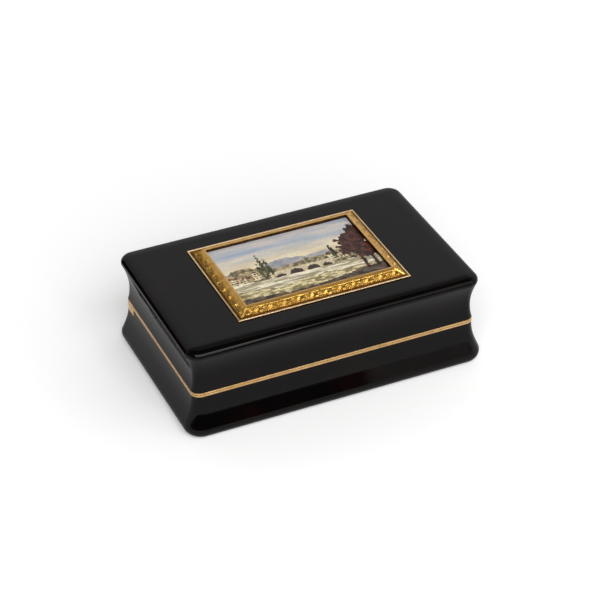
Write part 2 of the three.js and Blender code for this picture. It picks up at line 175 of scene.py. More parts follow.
@dataclass(frozen=True)
class Pattern:
    """Cloudy pattern over a surface, sized as it is on the object.

    Attributes:
        size: width of its features.
        detail: how many finer layers it has.
        coarseness: strength of each finer layer, as a part of the one before.
        swirl: how far its features are bent.
        low: level of the pattern up to which it doesn't show.
        high: level from which it shows in full.
        depth: height of its relief.
    """

    size: float
    detail: float = 2.0
    coarseness: float = 0.5
    swirl: float = 0.0
    low: float = 0.0
    high: float = 1.0
    depth: float = 0.0

    def level(self, tree: Tree) -> Socket:
        """Adds the bare pattern.

        Args:
            tree: the tree that takes it.

        Returns:
            Its level.
        """
        place = add_node(tree, "ShaderNodeTexCoord").outputs["Object"]
        return add_node(tree, "ShaderNodeTexNoise", {
            "Vector": place, "Scale": 1 / (self.size * MM), "Detail": self.detail,
            "Roughness": self.coarseness, "Distortion": self.swirl,
        }).outputs["Fac"]

    def strength(self, tree: Tree, least: float = 0.0, most: float = 1.0) -> Socket:
        """Adds a value that follows the pattern.

        Args:
            tree: the tree that takes it.
            least: the value where the pattern doesn't show.
            most: the value where it shows in full.

        Returns:
            The value.
        """
        return add_node(tree, "ShaderNodeMapRange", {
            "Value": self.level(tree), "From Min": self.low, "From Max": self.high,
            "To Min": least, "To Max": most,
        }).outputs["Result"]

    def colour(self, tree: Tree, plain: str, shown: str) -> Socket:
        """Adds a colour that follows the pattern.

        Args:
            tree: the tree that takes it.
            plain: the colour where the pattern doesn't show.
            shown: the colour where it shows in full.

        Returns:
            The colour.
        """
        return add_node(tree, "ShaderNodeMix", {
            MIX_FACTOR: self.strength(tree), MIX_FIRST: linear(plain), MIX_SECOND: linear(shown),
        }, data_type="RGBA").outputs[MIX_COLOUR]

    def normal(self, tree: Tree) -> Socket:
        """Adds the pattern's relief.

        Args:
            tree: the tree that takes it.

        Returns:
            The normals of the relief.
        """
        return add_node(tree, "ShaderNodeBump", {
            "Height": self.level(tree), "Distance": self.depth * MM, "Strength": 1.0,
        }).outputs["Normal"]


@dataclass(frozen=True)
class Finish:
    """A surface finish, made as a material when it is first asked for.

    Attributes:
        name: the real material and how its surface was made.
    """

    name: str

    def sockets(self, tree: Tree) -> dict[str, object]:
        """Adds the finish's patterns and gives what goes into its shader."""
        raise NotImplementedError

    def material(self) -> bpy.types.Material:
        """Gives the finish's material.

        Returns:
            The material, which is made the first time.
        """
        material = bpy.data.materials.get(self.name)
        if material is None:
            material = bpy.data.materials.new(self.name)
            material.use_nodes = True
            tree = material.node_tree
            tree.nodes.clear()
            shader = add_node(tree, "ShaderNodeBsdfPrincipled", self.sockets(tree))
            add_node(tree, "ShaderNodeOutputMaterial", {"Surface": shader.outputs["BSDF"]})
        return material


@dataclass(frozen=True)
class Tortoiseshell(Finish):
    """Dark moulded tortoiseshell with a hand polish: near black, with deep red clouds only in the darks.

    Attributes:
        dark: colour of the dense shell.
        cloud: colour of the redder clouds.
        clouds: where those clouds are.
        ripples: the slow waves that moulding leaves.
        roughness: how far the polish scatters light, after much handling.
        specular: gloss of the shell under its polish.
        coat: weight of the polish, low because the shell shows weak reflections.
        coat_ior: how strongly the polish bends light.
    """

    dark: str = "050404"
    cloud: str = "0C0504"
    clouds: Pattern = Pattern(11.0, detail=4.0, coarseness=0.55, swirl=0.6, low=0.46, high=0.68)
    ripples: Pattern = Pattern(18.0, detail=1.0, depth=0.004)
    roughness: float = 0.085
    specular: float = 0.0
    coat: float = 0.48
    coat_ior: float = 1.36

    def sockets(self, tree: Tree) -> dict[str, object]:
        """Adds the finish's patterns.

        Args:
            tree: the material's tree.

        Returns:
            A link or a value for each input of the shader.
        """
        return {
            "Base Color": self.clouds.colour(tree, self.dark, self.cloud),
            "Specular IOR Level": self.specular,
            "Coat Weight": self.coat,
            "Coat IOR": self.coat_ior,
            "Coat Roughness": self.roughness,
            "Coat Normal": self.ripples.normal(tree),
        }


@dataclass(frozen=True)
class Metal(Finish):
    """Worn metal: bright where hands have worn it, browner where it is tarnished and where the mesh carries
    painted shade, with fine wear lines.

    Attributes:
        bright: colour of the metal where hands have worn it.
        dull: colour of the metal where it is thinly tarnished.
        tarnish_and_painted_shade: colour of what stays in the hollows of chased work, and of the painted
            shade that the mesh carries.
        roughness: polish of the metal where hands have worn it.
        dulling: how much rougher the tarnished metal is.
        patches: where the metal is tarnished.
        wear: the wear lines, drawn coarser than real ones so that they show.
        relief: whether the mesh carries how high its chasing stands, less its painted shade.
        reach: how far below and above the ground what stays in the hollows fades out.
    """

    bright: str = "D2AC78"
    dull: str = "BE9560"
    tarnish_and_painted_shade: str = "6E451A"
    roughness: float = 0.24
    dulling: float = 0.18
    patches: Pattern = Pattern(2.4, detail=4.0, coarseness=0.6, low=0.35, high=0.7)
    wear: Pattern = Pattern(0.16, depth=0.0012)
    relief: bool = False
    reach: float = 0.5

    def sockets(self, tree: Tree) -> dict[str, object]:
        """Adds the finish's patterns.

        Args:
            tree: the material's tree.

        Returns:
            A link or a value for each input of the shader.
        """
        colour = self.patches.colour(tree, self.bright, self.dull)
        if self.relief:
            # The mesh's value is its relief less its painted shade: low values take the darker colour, so
            # part of that colour is painted shade
            height = add_node(tree, "ShaderNodeAttribute", attribute_name=RELIEF_AND_PAINTED_SHADE).outputs["Fac"]
            hollow = add_node(tree, "ShaderNodeMapRange", {
                "Value": height, "From Min": self.reach, "From Max": -self.reach,
            }).outputs["Result"]
            colour = add_node(tree, "ShaderNodeMix", {
                MIX_FACTOR: hollow, MIX_FIRST: colour, MIX_SECOND: linear(self.tarnish_and_painted_shade),
            }, data_type="RGBA").outputs[MIX_COLOUR]
        return {
            "Base Color": colour,
            "Metallic": 1.0,
            "Roughness": self.patches.strength(tree, self.roughness, self.roughness + self.dulling),
            "Normal": self.wear.normal(tree),
        }


@dataclass(frozen=True)
class TesseraGlass(Finish):
    """Opaque glass ground flat and polished: each piece has its own colour and its own slight haze.

    Attributes:
        roughness: polish of the ground tops.
        dulling: how much duller the haziest patches are.
        haze: where those patches are.
        pits: the small pits that grinding opens.
        ior: how strongly the glass bends light.
        specular: its gloss, low because the tops are worn.
    """

    roughness: float = 0.28
    dulling: float = 0.2
    haze: Pattern = Pattern(3.0, detail=3.0, low=0.3, high=0.7)
    pits: Pattern = Pattern(0.12, detail=1.0, depth=0.006)
    ior: float = 1.5
    specular: float = 0.3

    def sockets(self, tree: Tree) -> dict[str, object]:
        """Adds the finish's patterns.

        Args:
            tree: the material's tree.

        Returns:
            A link or a value for each input of the shader.
        """
        return {
            "Base Color": add_node(tree, "ShaderNodeAttribute", attribute_name=GLAZE).outputs["Color"],
            "Roughness": self.haze.strength(tree, self.roughness, self.roughness + self.dulling),
            "IOR": self.ior,
            "Specular IOR Level": self.specular,
            "Normal": self.pits.normal(tree),
        }


@dataclass(frozen=True)
class Speckled(Finish):
    """Matt grainy surface, such as set mastic or a paper sweep.

    Attributes:
        pale: colour of the paler grain.
        deep: colour of the deeper grain.
        grain: the grain.
        roughness: how matt it is.
        specular: what gloss is left.
    """

    pale: str
    deep: str
    grain: Pattern
    roughness: float = 0.9
    specular: float = 0.2

    def sockets(self, tree: Tree) -> dict[str, object]:
        """Adds the finish's patterns.

        Args:
            tree: the material's tree.

        Returns:
            A link or a value for each input of the shader.
        """
        return {
            "Base Color": self.grain.colour(tree, self.deep, self.pale),
            "Roughness": self.roughness,
            "Specular IOR Level": self.specular,
            "Normal": self.grain.normal(tree),
        }


@dataclass(frozen=True)
class Sweep(Speckled):
    """White paper that runs on as a lit backdrop, whiter with distance from the box and in polish.

    Attributes:
        glow: brightness added at the box.
        far_glow: brightness added in the distance.
        far: how far off that is.
    """

    glow: float = 0.145
    far_glow: float = 0.85
    far: float = 900.0

    def sockets(self, tree: Tree) -> dict[str, object]:
        """Adds the finish's patterns and its glow.

        Args:
            tree: the material's tree.

        Returns:
            A link or a value for each input of the shader.
        """
        place = add_node(tree, "ShaderNodeTexCoord").outputs["Object"]
        distance = add_node(tree, "ShaderNodeVectorMath", {0: place}, operation="LENGTH").outputs["Value"]
        strength = add_node(tree, "ShaderNodeMapRange", {
            "Value": distance, "From Max": self.far * MM, "To Min": self.glow, "To Max": self.far_glow,
        }).outputs["Result"]
        ray = add_node(tree, "ShaderNodeLightPath").outputs
        seen = ray["Is Camera Ray"]
        for kind in ("Is Glossy Ray", "Is Transmission Ray"):
            either = add_node(tree, "ShaderNodeMath", {0: seen, 1: ray[kind]}, operation="MAXIMUM")
            seen = either.outputs["Value"]
        glow = add_node(tree, "ShaderNodeMath", {0: seen, 1: strength}, operation="MULTIPLY")
        return super().sockets(tree) | {
            "Emission Color": linear(WHITE), "Emission Strength": glow.outputs["Value"],
        }


def fine_grain(size: float, depth: float) -> Pattern:
    """Gives the pattern of a grain, by its width and its depth."""
    return Pattern(size, detail=5.0, coarseness=0.6, depth=depth)


# Near black, with soft and weak reflections
SHELL = Tortoiseshell("polished_tortoiseshell")
# Rims and cheeks, worn by hands: soft bright gold with faint brown patches
POLISHED_GOLD = Metal("polished_worn_gold")
# Sight edge: even satin gold
SATIN_GOLD = Metal("satin_gold", bright="DDB06C", dull="C8974E", roughness=0.34, dulling=0.1)
# Strips: yellow leaves that glint over brown hollows, with painted shade along their outer edge
CHASED_GOLD_PAINTED_SHADE = Metal("chased_gold", bright="E6B85F", dull="CB9740", tarnish_and_painted_shade="5A3610", roughness=0.25,
                    relief=True)
# Beads: gold darkened to brown, painted shade of the groove between the bright wire and the strips
MILLED_GOLD_PAINTED_SHADE = Metal("milled_gold_wire", bright="AB8142", dull="5F4220", roughness=0.35)
# Outer wire: a pale, even line
WIRE_GOLD = Metal("drawn_pale_gold_wire", bright="F4DAB0", dull="E6C294", roughness=0.36, dulling=0.08)
# Hinge: a little yellower and duller, since hands rub it less
HINGE_GOLD = Metal("drawn_gold_tube", bright="D9B274", dull="B5884C", roughness=0.27)
# Tray under the mosaic: dull brown sheet
COPPER = Metal("rolled_copper", bright="6A5138", dull="3E2F20", roughness=0.45)
# Tesserae: opaque colours with a low gloss
GLASS = TesseraGlass("ground_opaque_glass")
# Bedding between the tesserae: sandy grey lines
MASTIC = Speckled("set_mastic", pale="8F8674", deep="5F584B", grain=fine_grain(0.3, 0.02))
# Studio cards and table: no sheen, only tone
FELT = Speckled("black_felt", pale="0A0A0A", deep="040404", grain=fine_grain(0.5, 0.05), roughness=1.0)
CARD = Speckled("white_card", pale="F6F6F6", deep="F0F0F0", grain=fine_grain(1.0, 0.01))
SWEEP = Sweep("matt_paper_sweep", pale="F8F8F8", deep="F3F3F3", grain=fine_grain(2.0, 0.01))


# Mesh building


def add_object(name: str, data: bpy.types.ID) -> Object:
    """Adds an object to the scene, at the origin.

    Args:
        name: the object's name.
        data: its mesh, lamp or camera.

    Returns:
        The object.
    """
    thing = bpy.data.objects.new(name, data)
    bpy.context.scene.collection.objects.link(thing)
    return thing


def add_mesh(name: str, points: np.ndarray, edges: Sequence = (), faces: Sequence = ()) -> Object:
    """Adds a mesh to the scene.

    Args:
        name: the object's name.
        points: one row of X, Y and Z in millimetres for each point.
        edges: the point numbers of each loose edge.
        faces: the point numbers of each face.

    Returns:
        The object.
    """
    mesh = bpy.data.meshes.new(name)
    mesh.from_pydata((points * MM).tolist(), edges, faces)
    return add_object(name, mesh)


def carry(piece: Object, name: str, kind: str, values: np.ndarray) -> None:
    """Lets each point of a piece carry a value for a finish or a tree.

    Args:
        piece: the piece.
        name: the value's name.
        kind: what kind of value it is.
        values: one row for each point.
    """
    carried = piece.data.attributes.new(name, kind, "POINT")
    carried.data.foreach_set(VALUE_FIELDS[kind], values.astype(np.float32).ravel())


def smooth(piece: Object, sharp: float = SHARP_ANGLE) -> None:
    """Shades a piece smooth, apart from edges that turn more than an angle."""
    piece.data.shade_smooth()
    piece.data.set_sharp_from_angle(angle=sharp)


def polar(centre: Pair, radius: float, angle: float) -> Pair:
    """Gives the point at a distance from a centre, at an angle in degrees."""
    turn = math.radians(angle)
    return (centre[0] + radius * math.cos(turn), centre[1] + radius * math.sin(turn))


class ProfilePath:
    """Path of (offset, height) points made of straight runs, arcs and curves."""

    def __init__(self, offset: float, height: float) -> None:
        """Starts the path at a point."""
        self.points: Path = [(offset, height)]

    def line(self, offset: float, height: float, ease: float = 0.0) -> None:
        """Adds a straight run, held straight by points a little way in from its ends.

        Args:
            offset: how far out the run ends.
            height: how high it ends.
            ease: how far in the holding points are, or 0 for none.
        """
        start = np.array(self.points[-1])
        end = np.array((offset, height))
        if ease:
            step = (end - start) * ease / np.linalg.norm(end - start)
            self.points += [tuple(start + step), tuple(end - step)]
        self.points.append((offset, height))

    def arc(self, centre: Pair, radius: float, start: float, end: float, steps: int) -> None:
        """Adds an arc.

        Args:
            centre: the arc's centre.
            radius: its radius.
            start: angle of its first point in degrees.
            end: angle of its last point in degrees.
            steps: number of chords.
        """
        for angle in np.linspace(start, end, steps + 1):
            point = polar(centre, radius, angle)
            if math.dist(point, self.points[-1]) > TINY:
                self.points.append(point)

    def curve(self, leave: Pair, arrive: Pair, end: Pair, steps: int) -> None:
        """Adds a cubic curve.

        Args:
            leave: control point that the curve leaves towards.
            arrive: control point that it arrives from.
            end: its last point.
            steps: number of chords.
        """
        corners = np.array([self.points[-1], leave, arrive, end])
        for part in np.linspace(0, 1, steps + 1)[1:]:
            rest = 1 - part
            weights = (rest ** 3, 3 * rest ** 2 * part, 3 * rest * part ** 2, part ** 3)
            self.points.append(tuple(np.dot(weights, corners)))


@dataclass(frozen=True)
class RoundedOutline:
    """Rectangle with round corners that grows and shrinks by an offset.

    Attributes:
        length: size along X at no offset.
        width: size along Y at no offset.
        corner: corner radius at no offset.
        least_corner: corner radius below which an inner outline doesn't go.
        steps: chords in each corner.
    """

    length: float
    width: float
    corner: float
    least_corner: float
    steps: int = 14

    def ring(self, offset: float, height: float) -> np.ndarray:
        """Gives the outline's points at an offset and a height, counter-clockwise from above.

        Args:
            offset: how far outside the outline the ring runs.
            height: its height.

        Returns:
            One row of X, Y and Z for each point.
        """
        radius = max(self.corner + offset, self.least_corner)
        parts = []
        for turn, (side_x, side_y) in enumerate(CORNERS):
            angles = (turn + np.linspace(0, 1, self.steps + 1)) * math.pi / 2
            x = side_x * (self.length / 2 + offset - radius) + radius * np.cos(angles)
            y = side_y * (self.width / 2 + offset - radius) + radius * np.sin(angles)
            parts.append(np.column_stack((x, y, np.full_like(x, height))))
        return np.concatenate(parts)


@dataclass(frozen=True)
class MitredOutline:
    """Rectangle with square corners that grows and shrinks by an offset.

    Attributes:
        length: size along X at no offset.
        width: size along Y at no offset.
    """

    length: float
    width: float

    def ring(self, offset: float, height: float) -> np.ndarray:
        """Gives the four corners at an offset and a height, counter-clockwise from above."""
        half_x, half_y = self.length / 2 + offset, self.width / 2 + offset
        return np.array([(side_x * half_x, side_y * half_y, height) for side_x, side_y in CORNERS])


@dataclass
class Surface:
    """Points in millimetres and the faces between them.

    Attributes:
        points: one row of X, Y and Z for each point.
        faces: the point numbers of each face.
    """

    points: np.ndarray
    faces: list[tuple[int, ...]]

    @classmethod
    def loft(cls, rings: Sequence[np.ndarray], closed: bool = False) -> "Surface":
        """Joins rings of equally many points.

        Args:
            rings: the rings, each of which turns right-handed about the way to the next.
            closed: whether the last ring joins the first; otherwise both ends are capped flat.

        Returns:
            The closed surface.
        """
        size = len(rings[0])
        count = len(rings)
        faces: list[tuple[int, ...]] = []
        for level in range(count if closed else count - 1):
            low = level * size
            high = (level + 1) % count * size
            for place in range(size):
                after = (place + 1) % size
                faces.append((low + place, low + after, high + after, high + place))
        if not closed:
            faces.append(tuple(reversed(range(size))))
            faces.append(tuple(range((count - 1) * size, count * size)))
        return cls(np.concatenate(rings), faces)

    def piece(self, name: str, finish: Finish, sharp: float = SHARP_ANGLE) -> Object:
        """Makes a piece of the surface.

        Args:
            name: the piece's name.
            finish: its finish.
            sharp: angle between faces past which an edge is sharp.

        Returns:
            The piece's object, at the origin.
        """
        piece = add_mesh(name, self.points, faces=self.faces)
        piece.data.materials.append(finish.material())
        smooth(piece, sharp)
        return piece


def prism(outline: Path, low: float, high: float) -> Surface:
    """Makes an upright prism.

    Args:
        outline: its (X, Y) corners, counter-clockwise from above.
        low: height of its bottom.
        high: height of its top.

    Returns:
        The prism's surface.
    """
    return Surface.loft([np.array([(x, y, height) for x, y in outline]) for height in (low, high)])


def block(low: Triple, high: Triple) -> Surface:
    """Makes an upright block from its lowest and its highest corner."""
    (left, near, foot), (right, far, top) = low, high
    return prism([(left, near), (right, near), (right, far), (left, far)], foot, top)


def settle(piece: Object) -> None:
    """Turns what a piece's modifiers make into its plain mesh.

    Args:
        piece: the piece, which loses its modifiers.
    """
    graph = bpy.context.evaluated_depsgraph_get()
    made = bpy.data.meshes.new_from_object(piece.evaluated_get(graph))
    rough = piece.data
    piece.modifiers.clear()
    piece.data = made
    bpy.data.meshes.remove(rough)
    made.name = piece.name


def carve(piece: Object, *shapes: Surface) -> None:
    """Cuts closed shapes out of a piece.

    Args:
        piece: the piece to cut.
        shapes: what is cut away.
    """
    cutters = [shape.piece(f"{piece.name}_cutter", SHELL) for shape in shapes]
    for cutter in cutters:
        cut = piece.modifiers.new("cut", "BOOLEAN")
        cut.operation = "DIFFERENCE"
        cut.object = cutter
    settle(piece)
    smooth(piece)
    for cutter in cutters:
        bpy.data.meshes.remove(cutter.data)


def soften(piece: Object, width: float, steps: int = 2) -> None:
    """Rounds a piece's sharp edges as finishing does.

    Args:
        piece: the piece.
        width: how wide the rounding is.
        steps: faces across the rounding.
    """
    rounding = piece.modifiers.new("rounding", "BEVEL")
    rounding.width = width * MM
    rounding.segments = steps
    rounding.limit_method = "ANGLE"
    rounding.angle_limit = SHARP_ANGLE
    rounding.use_clamp_overlap = True
    settle(piece)
    smooth(piece)


def seat(piece: Object, body: Body, slot: Slot, *nodes: str) -> None:
    """Sets a finished piece on its body in place of the solids that it stands for.

    Args:
        piece: the piece.
        body: the body that it moves with.
        slot: the record's material slot; not used.
        nodes: the solids.
    """
    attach(piece, body.value)
    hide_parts(*nodes)
    log.info("%s: %d faces, on %s", piece.name, len(piece.data.polygons), body.value)


def round_off(node: str, body: Body, finish: Finish, width: float) -> None:
    """Sets a gold copy of a solid in its place, with rounded edges.

    Args:
        node: the solid.
        body: the body that it moves with.
        finish: the copy's finish.
        width: how wide the rounding is.
    """
    name = f"{node}_gold"
    mesh = frame["nodes"][node].data.copy()
    mesh.name = name
    shape = bmesh.new()
    shape.from_mesh(mesh)
    bmesh.ops.remove_doubles(shape, verts=shape.verts, dist=TINY * MM)
    bmesh.ops.dissolve_limit(shape, angle_limit=FLAT_ANGLE, verts=shape.verts, edges=shape.edges)
    shape.to_mesh(mesh)
    shape.free()
    mesh.materials.clear()
    mesh.materials.append(finish.material())
    piece = add_object(name, mesh)
    soften(piece, width)
    seat(piece, body, Slot.GOLD, node)


def dress(node: str, finish: Finish) -> None:
    """Gives a solid of the frame its finish."""
    frame["nodes"][node].material_slots[0].material = finish.material()
    log.info("%s: dressed as it is", node)


class RepeatTree:
    """Geometry tree that repeats a shape, with named inputs for its sizes."""

    def __init__(self, name: str, inputs: dict[str, str]) -> None:
        """Starts a tree.

        Args:
            name: the tree's name.
            inputs: the kind of each named input after the geometry.
        """
        self.tree = bpy.data.node_groups.new(name, "GeometryNodeTree")
        interface = self.tree.interface
        interface.new_socket("Geometry", in_out="OUTPUT", socket_type="NodeSocketGeometry")
        interface.new_socket("Geometry", in_out="INPUT", socket_type="NodeSocketGeometry")
        for label, kind in inputs.items():
            interface.new_socket(label, in_out="INPUT", socket_type=kind)
        self.given = add_node(self.tree, "NodeGroupInput").outputs

    def add(self, kind: str, sockets: dict | None = None, **settings: object) -> bpy.types.NodeOutputs:
        """Adds a node and gives its outputs."""
        return add_node(self.tree, kind, sockets, **settings).outputs

    def end(self, instances: Socket, finish: Finish) -> None:
        """Ends the tree in plain faces of one finish.

        Args:
            instances: what the tree has made.
            finish: its finish.
        """
        plain = self.add("GeometryNodeRealizeInstances", {"Geometry": instances})[0]
        dressed = self.add("GeometryNodeSetMaterial", {"Geometry": plain, "Material": finish.material()})[0]
        self.add("NodeGroupOutput", {"Geometry": dressed})

    def apply(self, piece: Object, values: dict) -> None:
        """Runs the tree on a piece and leaves a plain mesh.

        Args:
            piece: the piece whose mesh the tree takes.
            values: the value of each named input.
        """
        repeat = piece.modifiers.new(self.tree.name, "NODES")
        repeat.node_group = self.tree
        for socket in self.tree.interface.items_tree:
            if socket.in_out == "INPUT" and socket.name in values:
                repeat[socket.identifier] = values[socket.name]
        settle(piece)


# Shells


@dataclass
class Joint:
    """Where base and lid meet, and the hinge gutter along the back of it.

    Attributes:
        corner: corner radius of the outline.
        inner_corner: least corner radius inside.
        seat_gap: room round a piece that is let in.
        proud: how far the gold strips stand out past the shells.
    """

    corner: float = 2.8
    inner_corner: float = 0.8
    seat_gap: float = 0.1
    proud: float = 0.12

    def __post_init__(self) -> None:
        """Reads the outline and the heights from the frame."""
        low, high = span("base_rim")
        lid_low = span("lid_rim")[0]
        self.length = high.x - low.x
        self.width = high.y - low.y
        self.height = (high.z + lid_low.z) / 2
        self.outline = RoundedOutline(self.length, self.width, self.corner, self.inner_corner)
        plate_low, plate_high = span("base_hinge_plate")
        lid_plate_high = span("lid_hinge_plate")[1]
        self.gutter_end = plate_high.x + self.seat_gap
        self.gutter_front = plate_low.y - self.seat_gap
        self.gutter_foot = plate_low.z
        self.gutter_top = lid_plate_high.z
        # Far enough out for cutting shapes to end outside the box
        self.beyond = self.length

    def gutter(self) -> Surface:
        """Gives the block that is cut away for the hinge."""
        low = (-self.gutter_end, self.gutter_front, self.gutter_foot)
        return block(low, (self.gutter_end, self.beyond, self.gutter_top))

    def rings(self, path: Path) -> list[np.ndarray]:
        """Gives a ring round the joint's outline for each point of a profile."""
        return [self.outline.ring(offset, height) for offset, height in path]


@dataclass
class BaseShell:
    """Moulded base: a drawn-in neck that spreads into a round foot, hollow inside.

    Attributes:
        joint: the joint that it comes up to.
        foot_spread: how far the foot stands out past the joint.
        foot_radius: radius of the round foot.
        foot_turn: angle at which the round runs out into the sweep, in degrees.
        foot_sweep: pull of the sweep's curve at the foot.
        neck_drop: pull of the curve at the neck.
        wall: thickness at the joint.
        floor: thickness of the floor.
        fillet: radius inside at the floor.
        cheek: thickness of the gold cheeks that are let into the back corners.
        ease: how far in a flat is held flat.
        foot_steps: chords in the round foot, and in the sweep.
        fillet_steps: chords in the fillet.
    """

    joint: Joint
    foot_spread: float = 2.5
    foot_radius: float = 2.5
    foot_turn: float = 22.5
    foot_sweep: float = 3.4
    neck_drop: float = 4.3
    wall: float = 2.7
    floor: float = 2.4
    fillet: float = 1.5
    cheek: float = 0.9
    ease: float = 0.15
    foot_steps: int = 20
    fillet_steps: int = 8

    def profile(self) -> Path:
        """Draws the section from the underside out, up and in to the floor.

        Returns:
            The section's points.
        """
        edge = span("base_shell")[1].z
        neck = -self.joint.proud
        foot = (self.foot_spread - self.foot_radius, self.foot_radius)
        fillet = (-self.wall - self.fillet, self.floor + self.fillet)
        path = ProfilePath(foot[0] - self.ease, 0)
        path.arc(foot, self.foot_radius, -QUARTER_TURN, self.foot_turn, self.foot_steps)
        leave = polar(path.points[-1], self.foot_sweep, self.foot_turn + QUARTER_TURN)
        path.curve(leave, (neck, edge - self.neck_drop), (neck, edge), self.foot_steps)
        path.line(-self.wall, edge)
        path.line(-self.wall, fillet[1], self.ease)
        path.arc(fillet, self.fillet, 0, -QUARTER_TURN, self.fillet_steps)
        path.line(fillet[0] - self.ease, self.floor)
        return path.points

    def cheek_rebate(self, side: int) -> Surface:
        """Gives the shape that is cut away for a cheek.

        Args:
            side: 1 for the right corner or -1 for the left one.

        Returns:
            The cutting shape.
        """
        joint = self.joint
        low = span("hinge_cheek_right")[0]
        # A ring starts with its back right corner
        corner = joint.outline.ring(-self.cheek - joint.seat_gap, 0)[:joint.outline.steps + 1, :2]
        front = low.y - joint.seat_gap
        inner = low.x - joint.seat_gap
        far = joint.beyond
        right = [(far, front), (far, far), (inner, far), (inner, corner[-1, 1])]
        right += [tuple(point) for point in corner[::-1]]
        right.append((corner[0, 0], front))
        outline = right if side > 0 else [(-x, y) for x, y in reversed(right)]
        return prism(outline, low.z, joint.height)

    def build(self) -> None:
        """Makes the base shell."""
        shell = Surface.loft(self.joint.rings(self.profile())).piece("base_moulding", SHELL)
        carve(shell, self.joint.gutter(), self.cheek_rebate(1), self.cheek_rebate(-1))
        seat(shell, Body.BASE, Slot.SHELL, "base_shell")


@dataclass
class LidShell:
    """Moulded lid: a spreading lower edge, a waist and a round nose under a top that falls at its edges.

    Attributes:
        joint: the joint that it comes down to.
        wall: thickness at the joint.
        top: thickness of the top.
        spread_lean: how far the curve at the lower edge leans in.
        spread_rise: how far it rises meanwhile.
        spread_reach: pull of the lower curve at the waist.
        waist_inset: how far the waist is drawn in.
        waist_rise: height of the waist over the joint.
        waist_reach: pull of the upper curve at the waist.
        nose_spread: how far the nose stands out.
        nose_radius: radius of the nose.
        nose_turn: angle at which the nose runs out into the sweep, in degrees.
        nose_sweep: pull of the sweep's curve at the nose.
        shoulder_radius: radius of the shoulder between nose and top.
        shoulder_start: angle at which nose and shoulder meet, in degrees.
        fall: how far the top falls off before the shoulder.
        fall_run: how wide that fall is.
        fillet: radius inside at the top.
        recess_corner: corner radius of the recess for the tray.
        ease: how far in a flat is held flat.
        fillet_steps: chords in the fillet.
        spread_steps: chords from the lower edge to the waist.
        sweep_steps: chords from the waist to the nose, and in the shoulder.
        nose_steps: chords in the nose.
        fall_steps: chords in the fall.
    """

    joint: Joint
    wall: float = 2.4
    top: float = 3.0
    spread_lean: float = 0.2
    spread_rise: float = 1.0
    spread_reach: float = 2.4
    waist_inset: float = 0.68
    waist_rise: float = 5.2
    waist_reach: float = 3.0
    nose_spread: float = 1.3
    nose_radius: float = 1.5
    nose_turn: float = 24.0
    nose_sweep: float = 2.2
    shoulder_radius: float = 2.5
    shoulder_start: float = 50.0
    fall: float = 0.25
    fall_run: float = 2.8
    fillet: float = 1.5
    recess_corner: float = 0.15
    ease: float = 0.15
    fillet_steps: int = 8
    spread_steps: int = 14
    sweep_steps: int = 16
    nose_steps: int = 24
    fall_steps: int = 12

    def profile(self) -> Path:
        """Draws the section from the ceiling out, down, and up over the nose to the top.

        Returns:
            The section's points.
        """
        low, high = span("lid_shell")
        edge, crest = low.z, high.z
        # The top falls off in a parabola, which ends at this slope
        slope = 2 * self.fall / self.fall_run
        lean = math.atan(slope)
        step = self.shoulder_radius - self.nose_radius
        crown_z = crest - self.fall - self.shoulder_radius * math.cos(lean)
        nose_z = crown_z + step * math.sin(math.radians(self.shoulder_start))
        nose = (self.nose_spread - self.nose_radius, nose_z)
        crown = polar(nose, -step, self.shoulder_start)
        nose_end = polar(nose, self.nose_radius, -self.nose_turn)
        arrive = polar(nose_end, self.nose_sweep, -self.nose_turn - QUARTER_TURN)
        waist_x, waist_z = -self.waist_inset, self.joint.height + self.waist_rise
        lip = -self.joint.proud
        leave = (lip - self.spread_lean, edge + self.spread_rise)
        ceiling = crest - self.top
        fillet = (-self.wall - self.fillet, ceiling - self.fillet)
        path = ProfilePath(fillet[0] - self.ease, ceiling)
        path.arc(fillet, self.fillet, QUARTER_TURN, 0, self.fillet_steps)
        path.line(-self.wall, edge, self.ease)
        path.line(lip, edge)
        path.curve(leave, (waist_x, waist_z - self.spread_reach), (waist_x, waist_z), self.spread_steps)
        path.curve((waist_x, waist_z + self.waist_reach), arrive, nose_end, self.sweep_steps)
        path.arc(nose, self.nose_radius, -self.nose_turn, self.shoulder_start, self.nose_steps)
        shoulder_end = QUARTER_TURN - math.degrees(lean)
        path.arc(crown, self.shoulder_radius, self.shoulder_start, shoulder_end, self.sweep_steps)
        shoulder = path.points[-1]
        flat = (shoulder[0] - self.fall_run, crest)
        pull = self.fall_run / 3
        leave = (shoulder[0] - pull, shoulder[1] + pull * slope)
        path.curve(leave, (flat[0] + pull, crest), flat, self.fall_steps)
        path.line(flat[0] - self.ease, crest)
        return path.points

    def build(self) -> None:
        """Makes the lid shell."""
        low, high = span("mosaic_tray")
        gap = self.joint.seat_gap
        recess = RoundedOutline(high.x - low.x + 2 * gap, high.y - low.y + 2 * gap, self.recess_corner,
                                self.recess_corner, self.joint.outline.steps)
        crest = span("lid_shell")[1].z
        rings = self.joint.rings(self.profile())
        rings += [recess.ring(0, crest), recess.ring(0, low.z)]
        shell = Surface.loft(rings).piece("lid_moulding", SHELL)
        carve(shell, self.joint.gutter())
        seat(shell, Body.LID, Slot.SHELL, "lid_shell")


# Gold mounts of the joint


